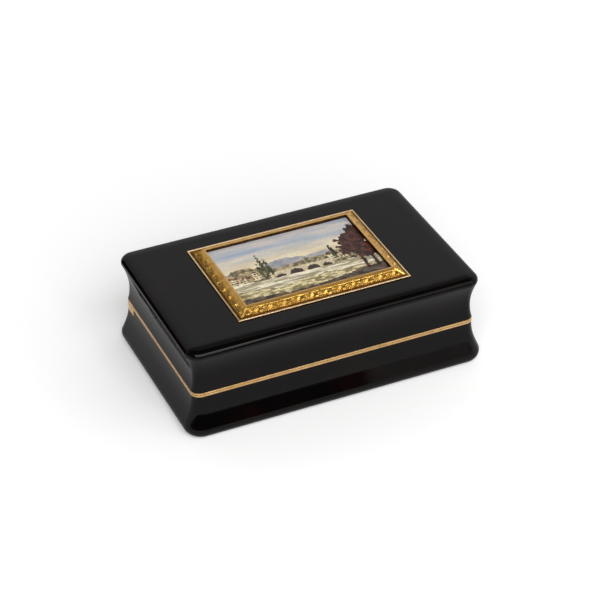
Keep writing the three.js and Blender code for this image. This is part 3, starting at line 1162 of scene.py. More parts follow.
@dataclass
class JointMounts:
    """Gold strips on the edges of base and lid, the lip that the lid closes over, and the cheeks.

    Attributes:
        joint: the joint that they line.
        base_wall: thickness of the base's wall.
        lid_wall: thickness of the lid's wall.
        leaf: thickness of a strip's inside leg.
        rounding: rounding of the edges.
        rounding_steps: faces across the rounding of a strip.
    """

    joint: Joint
    base_wall: float
    lid_wall: float
    leaf: float = 0.4
    rounding: float = 0.08
    rounding_steps: int = 3

    def build_rim(self, body: Body, wall: float) -> None:
        """Makes the strip on one edge: flat on the edge, with a leg down the inside.

        Args:
            body: the body whose edge it lies on.
            wall: thickness of that body's wall.
        """
        node = f"{body.value}_rim"
        low, high = span(node)
        shell_low, shell_high = span(f"{body.value}_shell")
        inner = -wall - self.leaf
        if body is Body.BASE:
            edge = shell_high.z
            step = [(-wall, low.z), (-wall, edge), (0, edge), (0, high.z)]
        else:
            edge = shell_low.z
            step = [(0, low.z), (0, edge), (-wall, edge), (-wall, high.z)]
        rings = self.joint.rings([(inner, low.z), *step, (inner, high.z)])
        rim = Surface.loft(rings, closed=True).piece(f"{node}_strip", POLISHED_GOLD)
        carve(rim, self.joint.gutter())
        soften(rim, self.rounding, self.rounding_steps)
        seat(rim, body, Slot.GOLD, node)

    def build(self) -> None:
        """Makes the strips, the lip and the cheeks."""
        self.build_rim(Body.BASE, self.base_wall)
        self.build_rim(Body.LID, self.lid_wall)
        for node in ("base_lip", "hinge_cheek_left", "hinge_cheek_right"):
            round_off(node, Body.BASE, POLISHED_GOLD, self.rounding)


@dataclass
class Hinge:
    """Tubes taken in turn from base and lid along the back, in plates that line the gutter, on one pin.

    Attributes:
        radius: outer radius of a tube.
        foot: reach of the square foot that seats a tube in its plate.
        bore: radius of the hole for the pin.
        chamfer: bevel on the ends of a tube.
        steps: chords in three quarters of a tube.
        rounding: rounding of the plates' edges.
    """

    radius: float = 1.3
    foot: float = 1.55
    bore: float = 0.58
    chamfer: float = 0.12
    steps: int = 24
    rounding: float = 0.08

    def tube(self, low: float, high: float, axis: Vector, turn: float) -> Surface:
        """Draws one tube with its foot.

        Args:
            low: where it starts along X.
            high: where it ends.
            axis: a point of the hinge axis.
            turn: turn of the foot about the axis in degrees.

        Returns:
            The tube's surface.
        """
        outer = [(-self.foot, 0), (-self.foot, -self.foot), (0, -self.foot)]
        for angle in np.linspace(-QUARTER_TURN, 2 * QUARTER_TURN, self.steps + 1):
            outer.append(polar((0, 0), self.radius, angle))
        section = np.array(outer)
        reach = np.linalg.norm(section, axis=1, keepdims=True)
        inner = section / reach * self.bore
        ends = section * (reach - self.chamfer) / reach
        layout = [(low, inner), (low, ends), (low + self.chamfer, section),
                  (high - self.chamfer, section), (high, ends), (high, inner)]
        swing = math.radians(turn)
        rings = []
        for x, flat in layout:
            y = flat[:, 0] * math.cos(swing) - flat[:, 1] * math.sin(swing)
            z = flat[:, 0] * math.sin(swing) + flat[:, 1] * math.cos(swing)
            rings.append(np.column_stack((np.full_like(y, x), y + axis.y, z + axis.z)))
        return Surface.loft(rings, closed=True)

    def build_row(self, tree: RepeatTree, body: Body, turn: float) -> None:
        """Makes the tubes of one body.

        Args:
            tree: the tree that repeats a tube along the hinge.
            body: the body.
            turn: turn of the feet about the axis in degrees.
        """
        nodes = [node for node in frame["nodes"] if node.startswith(f"{body.value}_knuckle")]
        nodes.sort(key=lambda node: span(node)[0].x)
        first_low, first_high = span(nodes[0])
        pitch = span(nodes[1])[0].x - first_low.x
        axis = Vector(frame["joints"][0]["pos_m"]) / MM
        tube = self.tube(first_low.x, first_high.x, axis, turn)
        row = tube.piece(f"{body.value}_hinge_tubes", HINGE_GOLD)
        tree.apply(row, {"Count": len(nodes), "Pitch": pitch * MM})
        smooth(row)
        seat(row, body, Slot.GOLD, *nodes)

    def build(self) -> None:
        """Makes the tubes and the plates, and dresses the pin."""
        tree = RepeatTree("tubes along the hinge", {"Count": "NodeSocketInt", "Pitch": "NodeSocketFloat"})
        step = tree.add("ShaderNodeCombineXYZ", {"X": tree.given["Pitch"]})[0]
        places = tree.add("GeometryNodeMeshLine", {"Count": tree.given["Count"], "Offset": step})[0]
        tubes = tree.add("GeometryNodeInstanceOnPoints",
                         {"Points": places, "Instance": tree.given["Geometry"]})[0]
        tree.end(tubes, HINGE_GOLD)
        self.build_row(tree, Body.BASE, 0)
        self.build_row(tree, Body.LID, -QUARTER_TURN)
        for body in Body:
            round_off(f"{body.value}_hinge_plate", body, HINGE_GOLD, self.rounding)
        dress("hinge_pin", HINGE_GOLD)


# Frame and mosaic on the lid


@dataclass(frozen=True)
class Fan:
    """A chased leaf: pointed lobes that fan out from a root, across the strip towards its outer edge.

    Attributes:
        pairs: how many lobes there are to each side of the middle one.
        root: place of the root across the chased band, as a part of its width.
        root_step: distance along the strip from one lobe's root to the next.
        spread: angle from one lobe to the next, in degrees.
        length: length of the middle lobe, as a part of the band's width.
        shorten: how much shorter the outermost lobes are, as a part of that length.
        half_width: half the width of a lobe at its widest.
        height: how far a lobe's tip stands up.
        root_height: height of a lobe at its root, as a part of its tip's.
        vein: depth of the vein along a lobe, as a part of its height.
        vein_width: width of the vein, as a part of the lobe's half width.
        belly: power that brings a lobe's widest place nearer to its root, the lower the nearer.
    """

    pairs: int
    root: float
    root_step: float
    spread: float
    length: float
    shorten: float
    half_width: float
    height: float
    root_height: float = 0.4
    vein: float = 0.35
    vein_width: float = 0.3
    belly: float = 0.7

    def lobe(self, right: np.ndarray, out: np.ndarray, lean: float, length: float) -> np.ndarray:
        """Draws one lobe.

        Args:
            right: the points' places along the strip, from the lobe's root.
            out: their places across it, from the root.
            lean: the lobe's angle from straight across.
            length: its length.

        Returns:
            The lobe's height at each point, 0 outside it.
        """
        reach = np.clip((right * math.sin(lean) + out * math.cos(lean)) / length, 0, 1)
        aside = right * math.cos(lean) - out * math.sin(lean)
        half = np.maximum(self.half_width * np.sin(math.pi * reach ** self.belly), TINY)
        dome = np.sqrt(np.clip(1 - (aside / half) ** 2, 0, 1))
        groove = 1 - self.vein * np.exp(-(aside / (self.vein_width * self.half_width)) ** 2)
        return self.height * dome * groove * (self.root_height + (1 - self.root_height) * reach)

    def relief(self, along: np.ndarray, across: np.ndarray, width: float) -> np.ndarray:
        """Draws the whole leaf.

        Args:
            along: the points' places along the strip, from the leaf's middle.
            across: their places across the chased band, from its inner edge.
            width: the band's width.

        Returns:
            The leaf's height at each point, 0 outside it.
        """
        height = np.zeros_like(along)
        for order in range(-self.pairs, self.pairs + 1):
            length = width * self.length * (1 - self.shorten * abs(order) / max(self.pairs, 1))
            lobe = self.lobe(along - order * self.root_step, across - self.root * width,
                             order * math.radians(self.spread), length)
            height = np.maximum(height, lobe)
        return height


LEAF = Fan(pairs=3, root=0.02, root_step=0.15, spread=20.0, length=0.97, shorten=0.3,
           half_width=0.17, height=0.3)
BUD = Fan(pairs=1, root=0.45, root_step=0.1, spread=32.0, length=0.5, shorten=0.3,
          half_width=0.13, height=0.2)


@dataclass
class PictureFrame:
    """Raised gold frame: a plain wire, a milled wire, four chased strips and a plain sight edge.

    Attributes:
        pitch: distance from one chased leaf to the next, about.
        plain: width of the smooth band beside the sight edge.
        groove: depth of the line between the smooth band and the chased one.
        groove_width: half the width of that line.
        ground: how far the ground between the leaves lies below the strip's plain surface.
        stipple: depth of the punched texture of that ground.
        stipple_size: width of the punch marks.
        wear: depth of the wear of the smooth band, as a part of the punched texture's.
        painted_shade_width: width of the painted shade along the outer edge, beside the beads.
        painted_shade_share_off_front: how much of that painted shade the strips that are not at the front
            get, as a part of the front strip's.
        outer_rise: height of the strip's outer edge over the lid.
        crown: how far the strip's section swells at its middle, under the leaves.
        ridge: half the width of the plain ridge along each mitre.
        ridge_height: how far that ridge stands up.
        clear: room between the ridge and the leaves.
        margin: how far from the strip's edges the chasing starts.
        grid: spacing of the chased surface's points.
        rows: faces across a strip.
        crease: angle past which an edge of the chasing is sharp, in degrees.
        bead_pitch: distance from one bead to the next.
        bead_faces: faces round a bead and from one end of it to the other.
        core: radius of the core under the beads, as a part of a bead's diameter.
        core_steps: chords round that core.
        sight_width: width of the sight edge.
        sight_leg: thickness of its upright leg.
        sight_lip: thickness of the lip over the mosaic.
        sight_bevel: width of the bevel that carries the strips' slope on to its top.
        sight_round: radius of its inner arris.
        sight_steps: chords in that arris.
        wire_steps: chords round a wire or a rivet.
        pins: how many pins hold the frame.
        rivet: radius of a rivet, as a part of its head's, and height over the head's face, step by step.
    """

    pitch: float = 4.1
    plain: float = 0.45
    groove: float = 0.05
    groove_width: float = 0.09
    ground: float = 0.06
    stipple: float = 0.09
    stipple_size: float = 0.26
    wear: float = 0.6
    painted_shade_width: float = 0.3
    painted_shade_share_off_front: float = 0.35
    outer_rise: float = 0.5
    crown: float = 0.03
    ridge: float = 0.3
    ridge_height: float = 0.16
    clear: float = 0.25
    margin: float = 0.14
    grid: float = 0.085
    rows: int = 28
    crease: float = 70.0
    bead_pitch: float = 0.6
    bead_faces: tuple[int, int] = (8, 5)
    core: float = 1 / 3
    core_steps: int = 8
    sight_width: float = 0.85
    sight_leg: float = 0.4
    sight_lip: float = 0.18
    sight_bevel: float = 0.42
    sight_round: float = 0.1
    sight_steps: int = 6
    wire_steps: int = 16
    pins: int = 4
    rivet: tuple[Pair, ...] = ((0.35, 0.0), (0.75, 0.06), (1.0, 0.24), (1.0, 0.4), (0.5, 0.4))

    def __post_init__(self) -> None:
        """Reads the places of the frame's parts."""
        sight_high = span("frame_sight_edge")[1]
        bead_low, bead_high = span("frame_bead_wire")
        wire_high = span("frame_wire")[1]
        self.lid_top = span("frame_strip_back")[0].z
        self.bead = bead_high.z - bead_low.z
        self.wire = wire_high.z - self.lid_top
        self.sight_outer = MitredOutline(sight_high.x * 2, sight_high.y * 2)
        self.bead_line = MitredOutline(bead_high.x * 2, bead_high.y * 2)
        self.wire_line = MitredOutline(wire_high.x * 2, wire_high.y * 2)

    def chasing(self, along: np.ndarray, across: np.ndarray, half_inner: float, width: float) -> np.ndarray:
        """Draws the leaves, the buds between them and the ridges along the mitres.

        Args:
            along: the points' places along the strip, from its middle.
            across: their places across it, from the sight edge.
            half_inner: half the strip's length at the sight edge.
            width: the strip's width.

        Returns:
            The height of the chasing over its ground at each point.
        """
        pitch = 2 * half_inner / round(2 * half_inner / self.pitch)
        band = across - self.plain
        to_leaf = (along + pitch / 2) % pitch - pitch / 2
        to_bud = along % pitch - pitch / 2
        breadth = width - self.plain
        leaves = np.maximum(LEAF.relief(to_leaf, band, breadth), BUD.relief(to_bud, band, breadth))
        to_mitre = (half_inner + across - np.abs(along)) / math.sqrt(2)
        leaves = leaves * np.clip((to_mitre - self.ridge) / self.clear, 0, 1)
        leaves = leaves * np.clip((width - across) / self.margin, 0, 1)
        ridge = self.ridge_height * np.sqrt(np.clip(1 - (to_mitre / self.ridge) ** 2, 0, 1))
        return np.maximum(leaves, ridge)

    def build_strip(self, side: Side) -> None:
        """Makes one chased strip.

        Args:
            side: the side of the frame that it is on.
        """
        node = f"frame_strip_{side.name.lower()}"
        low, high = span(node)
        lengthways, widthways = (0, 1) if side in (Side.FRONT, Side.BACK) else (1, 0)
        half_outer = (high[lengthways] - low[lengthways]) / 2
        width = high[widthways] - low[widthways]
        near = min(abs(low[widthways]), abs(high[widthways]))
        half_inner = half_outer - width
        columns = round(2 * half_outer / self.grid)
        across = np.linspace(width, 0, self.rows + 1)[None, :]
        along = np.linspace(-1, 1, columns + 1)[:, None] * (half_inner + across)
        across = np.broadcast_to(across, along.shape)
        chasing = self.chasing(along, across, half_inner, width)
        share = across / width
        inner_rise = high.z - self.lid_top
        plain = inner_rise + share * (self.outer_rise - inner_rise) + 4 * share * (1 - share) * self.crown
        marks = [noise.noise(Vector((x, y, side.value * width)) / self.stipple_size)
                 for x, y in zip(along.ravel(), across.ravel())]
        chased = np.clip((across - self.plain) / self.margin, 0, 1)
        texture = self.stipple * np.reshape(marks, along.shape) * (self.wear + (1 - self.wear) * chased)
        line = self.groove * np.exp(-((across - self.plain) / self.groove_width) ** 2)
        rise = plain + texture - chased * self.ground + chasing - line
        rise = np.minimum(rise, inner_rise + self.ridge_height)
        rings = []
        for column in range(columns + 1):
            top = np.column_stack((along[column], near + across[column], self.lid_top + rise[column]))
            foot = np.array([
                (along[column, -1], near, self.lid_top),
                (along[column, 0], near + width, self.lid_top),
            ])
            rings.append(np.concatenate((foot, top)))
        surface = Surface.loft(rings)
        turn = np.array(Matrix.Rotation(side.value * math.pi / 2, 3, "Z"))
        surface.points = surface.points @ turn.T
        strip = surface.piece(f"{node}_chased", CHASED_GOLD_PAINTED_SHADE, math.radians(self.crease))
        # Painted shade: the colour darkens towards the outer edge, beside the beads, in full on the front
        # strip and more weakly on the others; it lowers the relief value that the finish reads.
        painted_edge_shade = np.clip(1 - (width - across) / self.painted_shade_width, 0, 1)
        if side is not Side.FRONT:
            painted_edge_shade = painted_edge_shade * self.painted_shade_share_off_front
        relief_less_painted_shade = np.ones((columns + 1, len(rings[0])))
        relief_less_painted_shade[:, -across.shape[1]:] = np.clip(1 - chased + chasing / LEAF.height, 0, 1) - painted_edge_shade
        carry(strip, RELIEF_AND_PAINTED_SHADE, "FLOAT", relief_less_painted_shade)
        seat(strip, Body.LID, Slot.GOLD, node)

    def build_wire(self) -> None:
        """Makes the plain round wire outside all."""
        radius = self.wire / 2
        rings = []
        for angle in np.linspace(0, 2 * math.pi, self.wire_steps, endpoint=False):
            offset = radius * (math.cos(angle) - 1)
            rings.append(self.wire_line.ring(offset, self.lid_top + radius * (1 + math.sin(angle))))
        wire = Surface.loft(rings, closed=True).piece("frame_plain_wire", WIRE_GOLD)
        seat(wire, Body.LID, Slot.GOLD, "frame_wire")

    def build_beads(self) -> None:
        """Makes the milled wire: a thin core with beads all along it."""
        sizes = {
            "Pitch": self.bead_pitch * MM,
            "Bead radius": self.bead / 2 * MM,
            "Core radius": self.bead * self.core * MM,
        }
        tree = RepeatTree("beads along a wire", dict.fromkeys(sizes, "NodeSocketFloat"))
        given = tree.given
        line = tree.add("GeometryNodeMeshToCurve", {"Mesh": given["Geometry"]})[0]
        places = tree.add("GeometryNodeResampleCurve", {
            "Curve": line, "Length": given["Pitch"],
        }, mode="LENGTH")[0]
        segments, rings = self.bead_faces
        bead = tree.add("GeometryNodeMeshUVSphere", {
            "Segments": segments, "Rings": rings, "Radius": given["Bead radius"],
        })[0]
        beads = tree.add("GeometryNodeInstanceOnPoints", {"Points": places, "Instance": bead})[0]
        circle = tree.add("GeometryNodeCurvePrimitiveCircle", {
            "Resolution": self.core_steps, "Radius": given["Core radius"],
        })[0]
        core = tree.add("GeometryNodeCurveToMesh", {"Curve": line, "Profile Curve": circle})[0]
        both = tree.add("GeometryNodeJoinGeometry", {"Geometry": [core, beads]})[0]
        tree.end(both, MILLED_GOLD_PAINTED_SHADE)
        corners = self.bead_line.ring(-self.bead / 2, self.lid_top + self.bead / 2)
        edges = [(place, (place + 1) % len(corners)) for place in range(len(corners))]
        wire = add_mesh("frame_beads", corners, edges)
        tree.apply(wire, sizes)
        wire.data.shade_smooth()
        seat(wire, Body.LID, Slot.GOLD, "frame_bead_wire")

    def build_sight_edge(self) -> None:
        """Makes the plain moulding round the mosaic."""
        low, high = span("frame_sight_edge")
        width = self.sight_width
        top = high.z
        path = ProfilePath(-width, top - self.sight_lip)
        path.line(-self.sight_leg, top - self.sight_lip)
        path.line(-self.sight_leg, low.z)
        path.line(0, low.z)
        path.line(0, span("frame_strip_front")[1].z, TINY)
        path.line(-self.sight_bevel, top, TINY)
        path.line(self.sight_round - width, top, TINY)
        arris = (self.sight_round - width, top - self.sight_round)
        path.arc(arris, self.sight_round, QUARTER_TURN, 2 * QUARTER_TURN, self.sight_steps)
        rings = [self.sight_outer.ring(offset, height) for offset, height in path.points]
        edge = Surface.loft(rings, closed=True).piece("frame_sight_moulding", SATIN_GOLD)
        seat(edge, Body.LID, Slot.GOLD, "frame_sight_edge")

    def build_rivets(self) -> None:
        """Makes the pins that hold the frame, riveted over inside the lid."""
        nodes = [f"frame_pin_{number}" for number in range(1, self.pins + 1)]
        low, high = span(nodes[0])
        # From the first pin to the one diagonally across
        across = sum(span(nodes[self.pins // 2]), Vector()) / 2 - (low + high) / 2
        head = (high.x - low.x) / 2
        layout = [(share * head, low.z + rise) for share, rise in self.rivet]
        layout.append((layout[-1][0], high.z))
        angles = np.linspace(0, 2 * math.pi, self.wire_steps, endpoint=False)
        circle = np.column_stack((np.cos(angles), np.sin(angles), np.zeros_like(angles)))
        rings = [radius * circle + (0, 0, height) for radius, height in layout]
        sizes = {"Length": across.x * MM, "Width": across.y * MM}
        tree = RepeatTree("rivets at four corners", dict.fromkeys(sizes, "NodeSocketFloat"))
        places = tree.add("GeometryNodeMeshGrid", {
            "Size X": tree.given["Length"], "Size Y": tree.given["Width"], "Vertices X": 2, "Vertices Y": 2,
        })[0]
        rivets = tree.add("GeometryNodeInstanceOnPoints", {
            "Points": places, "Instance": tree.given["Geometry"],
        })[0]
        tree.end(rivets, POLISHED_GOLD)
        row = Surface.loft(rings).piece("frame_rivets", POLISHED_GOLD)
        tree.apply(row, sizes)
        smooth(row)
        seat(row, Body.LID, Slot.GOLD, *nodes)

    def build(self) -> None:
        """Makes every part of the frame."""
        for side in Side:
            self.build_strip(side)
        self.build_sight_edge()
        self.build_beads()
        self.build_wire()
        self.build_rivets()


def tint(hex_colour: str) -> np.ndarray:
    """Gives a colour that can be mixed with others."""
    return np.array(linear(hex_colour))


def blend(first: np.ndarray, second: np.ndarray, part: float) -> np.ndarray:
    """Mixes two colours, by a part between 0 and 1."""
    part = min(max(part, 0.0), 1.0)
    return first * (1 - part) + second * part


def waves(x: float, y: float, size: Pair, seed: float) -> float:
    """Gives a smooth variation between about -1 and 1.

    Args:
        x: place along the view.
        y: place up the view.
        size: width and height of the variation.
        seed: picks one variation from the others.

    Returns:
        The variation there.
    """
    return noise.noise(Vector((x / size[0], y / size[1], seed)))


@dataclass(frozen=True)
class Layer:
    """Part of a made-up view, from a wavy crest down to the layer in front.

    Attributes:
        dark: its darker colour.
        pale: its paler colour.
        seed: picks its patches and its crest.
        mottle: width and height of the patches of its colours.
        contrast: how strongly the patches differ.
        grain: how much tesserae of one colour differ.
        level: height of the crest.
        humps: place, width and height of each rise of the crest.
        stray: how far the crest strays up and down.
        stray_size: width of one such stray.
        fine: strength of the finer patches, which are half as large.
        middle: part of the paler colour between the patches.
        seed_steps: what the seeds of the patches and of the finer ones add to the layer's.
    """

    dark: str
    pale: str
    seed: float
    mottle: Pair
    contrast: float
    grain: float
    level: float = 1.0
    humps: tuple[Triple, ...] = ()
    stray: float = 0.0
    stray_size: float = 1.0
    fine: float = 0.6
    middle: float = 0.5
    seed_steps: Pair = (0.5, 0.7)

    def crest(self, x: float) -> float:
        """Gives the height of the crest at a place along the view."""
        rise = sum(height * math.exp(-((x - place) / width) ** 2) for place, width, height in self.humps)
        return self.level + rise + self.stray * waves(x, 0, (self.stray_size, self.stray_size), self.seed)

    def colour(self, x: float, y: float, stray: float) -> np.ndarray:
        """Gives the layer's colour.

        Args:
            x: place along the view.
            y: place up the view.
            stray: how far this tessera strays from its colour.

        Returns:
            Linear red, green, blue and alpha.
        """
        patch_seed, fine_seed = (self.seed + step for step in self.seed_steps)
        half = (self.mottle[0] / 2, self.mottle[1] / 2)
        patch = waves(x, y, self.mottle, patch_seed) + self.fine * waves(x, y, half, fine_seed)
        shade = blend(tint(self.dark), tint(self.pale), self.middle + self.contrast * patch)
        return shade * (1 + self.grain * stray)


SKY = Layer("A2AFC0", "CFC7C0", seed=1.0, mottle=(0.55, 0.07), contrast=0.9, grain=0.03)
GLOW = Layer("DCCBA9", "F2E8C8", seed=2.0, mottle=(0.4, 0.05), contrast=0.7, grain=0.03)
# Far hills, near hills, bushes, water, shore and the dark bank in front
LAND = (
    Layer("8A8F9A", "B5B1B0", seed=3.0, mottle=(0.12, 0.05), contrast=0.6, grain=0.05, level=0.52,
          humps=((-0.2, 0.3, 0.09), (0.35, 0.2, 0.05), (-0.85, 0.25, 0.04)), stray=0.02, stray_size=0.12),
    Layer("5F5A45", "BDA77C", seed=4.0, mottle=(0.06, 0.04), contrast=1.5, grain=0.14, level=0.47,
          humps=((-0.75, 0.3, 0.13), (0.15, 0.22, 0.05)), stray=0.03, stray_size=0.07),
    Layer("43331F", "A59C78", seed=5.0, mottle=(0.04, 0.03), contrast=1.8, grain=0.2, level=0.42,
          humps=((-0.5, 0.15, 0.05), (0.55, 0.3, 0.12)), stray=0.05, stray_size=0.05),
    Layer("A09679", "F2E8CE", seed=6.0, mottle=(0.26, 0.018), contrast=1.7, grain=0.08, level=0.33,
          humps=((-1.0, 0.4, 0.04),), stray=0.012, stray_size=0.1),
    Layer("85784F", "E6D6A8", seed=7.0, mottle=(0.1, 0.025), contrast=1.6, grain=0.14, level=0.17,
          humps=((0.2, 0.5, 0.05), (-0.9, 0.3, 0.06)), stray=0.02, stray_size=0.09),
    Layer("2F2722", "6A5B4A", seed=8.0, mottle=(0.1, 0.03), contrast=1.2, grain=0.15, level=0.06,
          humps=((1.0, 0.7, 0.1), (-1.0, 0.5, 0.06)), stray=0.02, stray_size=0.08),
)
LEAVES = Layer("241210", "5C2E22", seed=9.0, mottle=(0.05, 0.05), contrast=1.3, grain=0.25)
POPLAR_LEAVES = Layer("24261A", "5E5E3C", seed=12.0, mottle=(0.03, 0.06), contrast=1.3, grain=0.2)


@dataclass(frozen=True)
class Town:
    """Row of small gabled houses.

    Attributes:
        ends: left and right end of the row.
        foot: level that the houses stand on.
        width: width of a house.
        heights: height of the lowest and of the highest house.
        gable: height of a roof.
        storey: height of a storey.
        bays: windows side by side in a house.
        walls: colours of the walls.
        roofs: colours of the roofs.
        window: colour of the windows.
        pier: share of a bay and of a storey that is wall before a window starts.
    """

    ends: Pair
    foot: float
    width: float = 0.085
    heights: Pair = (0.09, 0.16)
    gable: float = 0.035
    storey: float = 0.034
    bays: int = 2
    walls: tuple[str, ...] = ("E6D9B4", "CDB78C", "D9C9A6", "B79A72")
    roofs: tuple[str, ...] = ("7C4530", "5E3A2C", "8E5A40")
    window: str = "4A3A2C"
    pier: float = 0.5

    def colour(self, x: float, y: float) -> np.ndarray | None:
        """Gives the houses' colour.

        Args:
            x: place along the view.
            y: place up the view.

        Returns:
            Linear red, green, blue and alpha, or nothing beside the houses.
        """
        if not self.ends[0] < x < self.ends[1] or y < self.foot:
            return None
        number = math.floor((x - self.ends[0]) / self.width)
        share = (x - self.ends[0]) / self.width - number
        top = self.foot + np.random.default_rng(number).uniform(*self.heights)
        if y > top - self.gable * abs(2 * share - 1):
            return None
        if y > top - self.gable:
            return tint(self.roofs[number % len(self.roofs)])
        beside = (share * self.bays) % 1 > self.pier
        glazed = beside and ((y - self.foot) / self.storey) % 1 > self.pier
        return tint(self.window if glazed else self.walls[number % len(self.walls)])


@dataclass(frozen=True)
class Bridge:
    """Low bridge of a few arches over the river.

    Attributes:
        ends: its left and right end.
        water: level of the water under it.
        parapet: level of its top.
        arches: place, half width and height of each arch.
        pale: colour of its sunlit stone.
        dark: colour of its shaded stone.
        shade: colour of the vaults.
        stone: width and height of a stone.
        stone_tone: part of the shaded colour in a middling stone.
        stone_contrast: how strongly the stones differ.
        seed: picks the stones' tones.
    """

    ends: Pair = (-0.45, 0.42)
    water: float = 0.325
    parapet: float = 0.43
    arches: tuple[Triple, ...] = (
        (-0.32, 0.075, 0.055), (-0.1, 0.095, 0.075), (0.13, 0.09, 0.07), (0.32, 0.06, 0.05),
    )
    pale: str = "E4D9B8"
    dark: str = "A58B64"
    shade: str = "40312A"
    stone: Pair = (0.035, 0.02)
    stone_tone: float = 0.35
    stone_contrast: float = 0.9
    seed: float = 10.0

    def colour(self, x: float, y: float) -> np.ndarray | None:
        """Gives the bridge's colour.

        Args:
            x: place along the view.
            y: place up the view.

        Returns:
            Linear red, green, blue and alpha, or nothing beside the bridge.
        """
        if not (self.ends[0] < x < self.ends[1] and self.water < y < self.parapet):
            return None
        for place, half, height in self.arches:
            rise = 1 - ((x - place) / half) ** 2
            if rise > 0 and y < self.water + height * math.sqrt(rise):
                return tint(self.shade)
        part = self.stone_tone + self.stone_contrast * waves(x, y, self.stone, self.seed)
        return blend(tint(self.pale), tint(self.dark), part)


@dataclass(frozen=True)
class Trees:
    """Leafy trees at the right and slim poplars by the river.

    Attributes:
        crowns: place along, place up and size of each crown.
        flatten: how much lower than wide a crown is.
        clump: size of the leaf clumps at the crowns' edges.
        ragged: how far the clumps break those edges, as a part of a crown's size.
        seed: picks the clumps.
        trunks: place and half width of each trunk.
        trunk_foot: level that the trunks stand on.
        poplars: place and top of each poplar.
        poplar_foot: level that the poplars stand on.
        poplar_half: half the width of a poplar.
        poplar_belly: power that brings a poplar's widest place nearer to its foot, the lower the nearer.
    """

    crowns: tuple[Triple, ...] = (
        (0.84, 0.62, 0.2), (0.97, 0.74, 0.16), (0.7, 0.5, 0.12), (0.93, 0.42, 0.17),
    )
    flatten: float = 1.4
    clump: float = 0.05
    ragged: float = 0.5
    seed: float = 11.0
    trunks: tuple[Pair, ...] = ((0.79, 0.026), (0.93, 0.022))
    trunk_foot: float = 0.12
    poplars: tuple[Pair, ...] = ((-0.52, 0.64), (-0.46, 0.76), (-0.4, 0.68), (0.5, 0.66))
    poplar_foot: float = 0.39
    poplar_half: float = 0.03
    poplar_belly: float = 0.6

    def colour(self, x: float, y: float, stray: float) -> np.ndarray | None:
        """Gives the trees' colour.

        Args:
            x: place along the view.
            y: place up the view.
            stray: how far this tessera strays from its colour.

        Returns:
            Linear red, green, blue and alpha, or nothing beside the trees.
        """
        depths = (1 - math.hypot(x - place, (y - up) * self.flatten) / size
                  for place, up, size in self.crowns)
        leafy = max(depths) + self.ragged * waves(x, y, (self.clump, self.clump), self.seed) > 0
        trunk = any(abs(x - place) < half for place, half in self.trunks)
        if leafy or (trunk and self.trunk_foot < y < self.crowns[0][1]):
            return LEAVES.colour(x, y, stray)
        for place, top in self.poplars:
            share = (y - self.poplar_foot) / (top - self.poplar_foot)
            if not 0 < share < 1:
                continue
            if abs(x - place) < self.poplar_half * math.sin(math.pi * share ** self.poplar_belly):
                return POPLAR_LEAVES.colour(x, y, stray)
        return None


@dataclass(frozen=True)
class RiverView:
    """A made-up view for the mosaic: a river with a bridge and houses before hills, and trees at the right.

    Places run from -1 at the left to 1 at the right, and from 0 at the bottom to 1 at the top.

    Attributes:
        glow_top: level up to which the sky glows.
        glow_fade: height over which the glow fades into the blue.
        towns: the rows of houses.
        bridge: the bridge.
        trees: the trees.
    """

    glow_top: float = 0.6
    glow_fade: float = 0.22
    towns: tuple[Town, ...] = (Town(ends=(-1.0, -0.57), foot=0.37), Town(ends=(0.4, 0.66), foot=0.38))
    bridge: Bridge = Bridge()
    trees: Trees = Trees()

    def colour(self, x: float, y: float, stray: float) -> np.ndarray:
        """Gives the view's colour.

        Args:
            x: from the left to the right.
            y: from the bottom to the top.
            stray: how far this tessera strays from its colour.

        Returns:
            Linear red, green, blue and alpha.
        """
        blue = (y - self.glow_top) / self.glow_fade
        shade = blend(GLOW.colour(x, y, stray), SKY.colour(x, y, stray), blue)
        for layer in LAND:
            if y < layer.crest(x):
                shade = layer.colour(x, y, stray)
        over = [town.colour(x, y) for town in self.towns]
        over += [self.bridge.colour(x, y), self.trees.colour(x, y, stray)]
        return next((colour for colour in reversed(over) if colour is not None), shade)


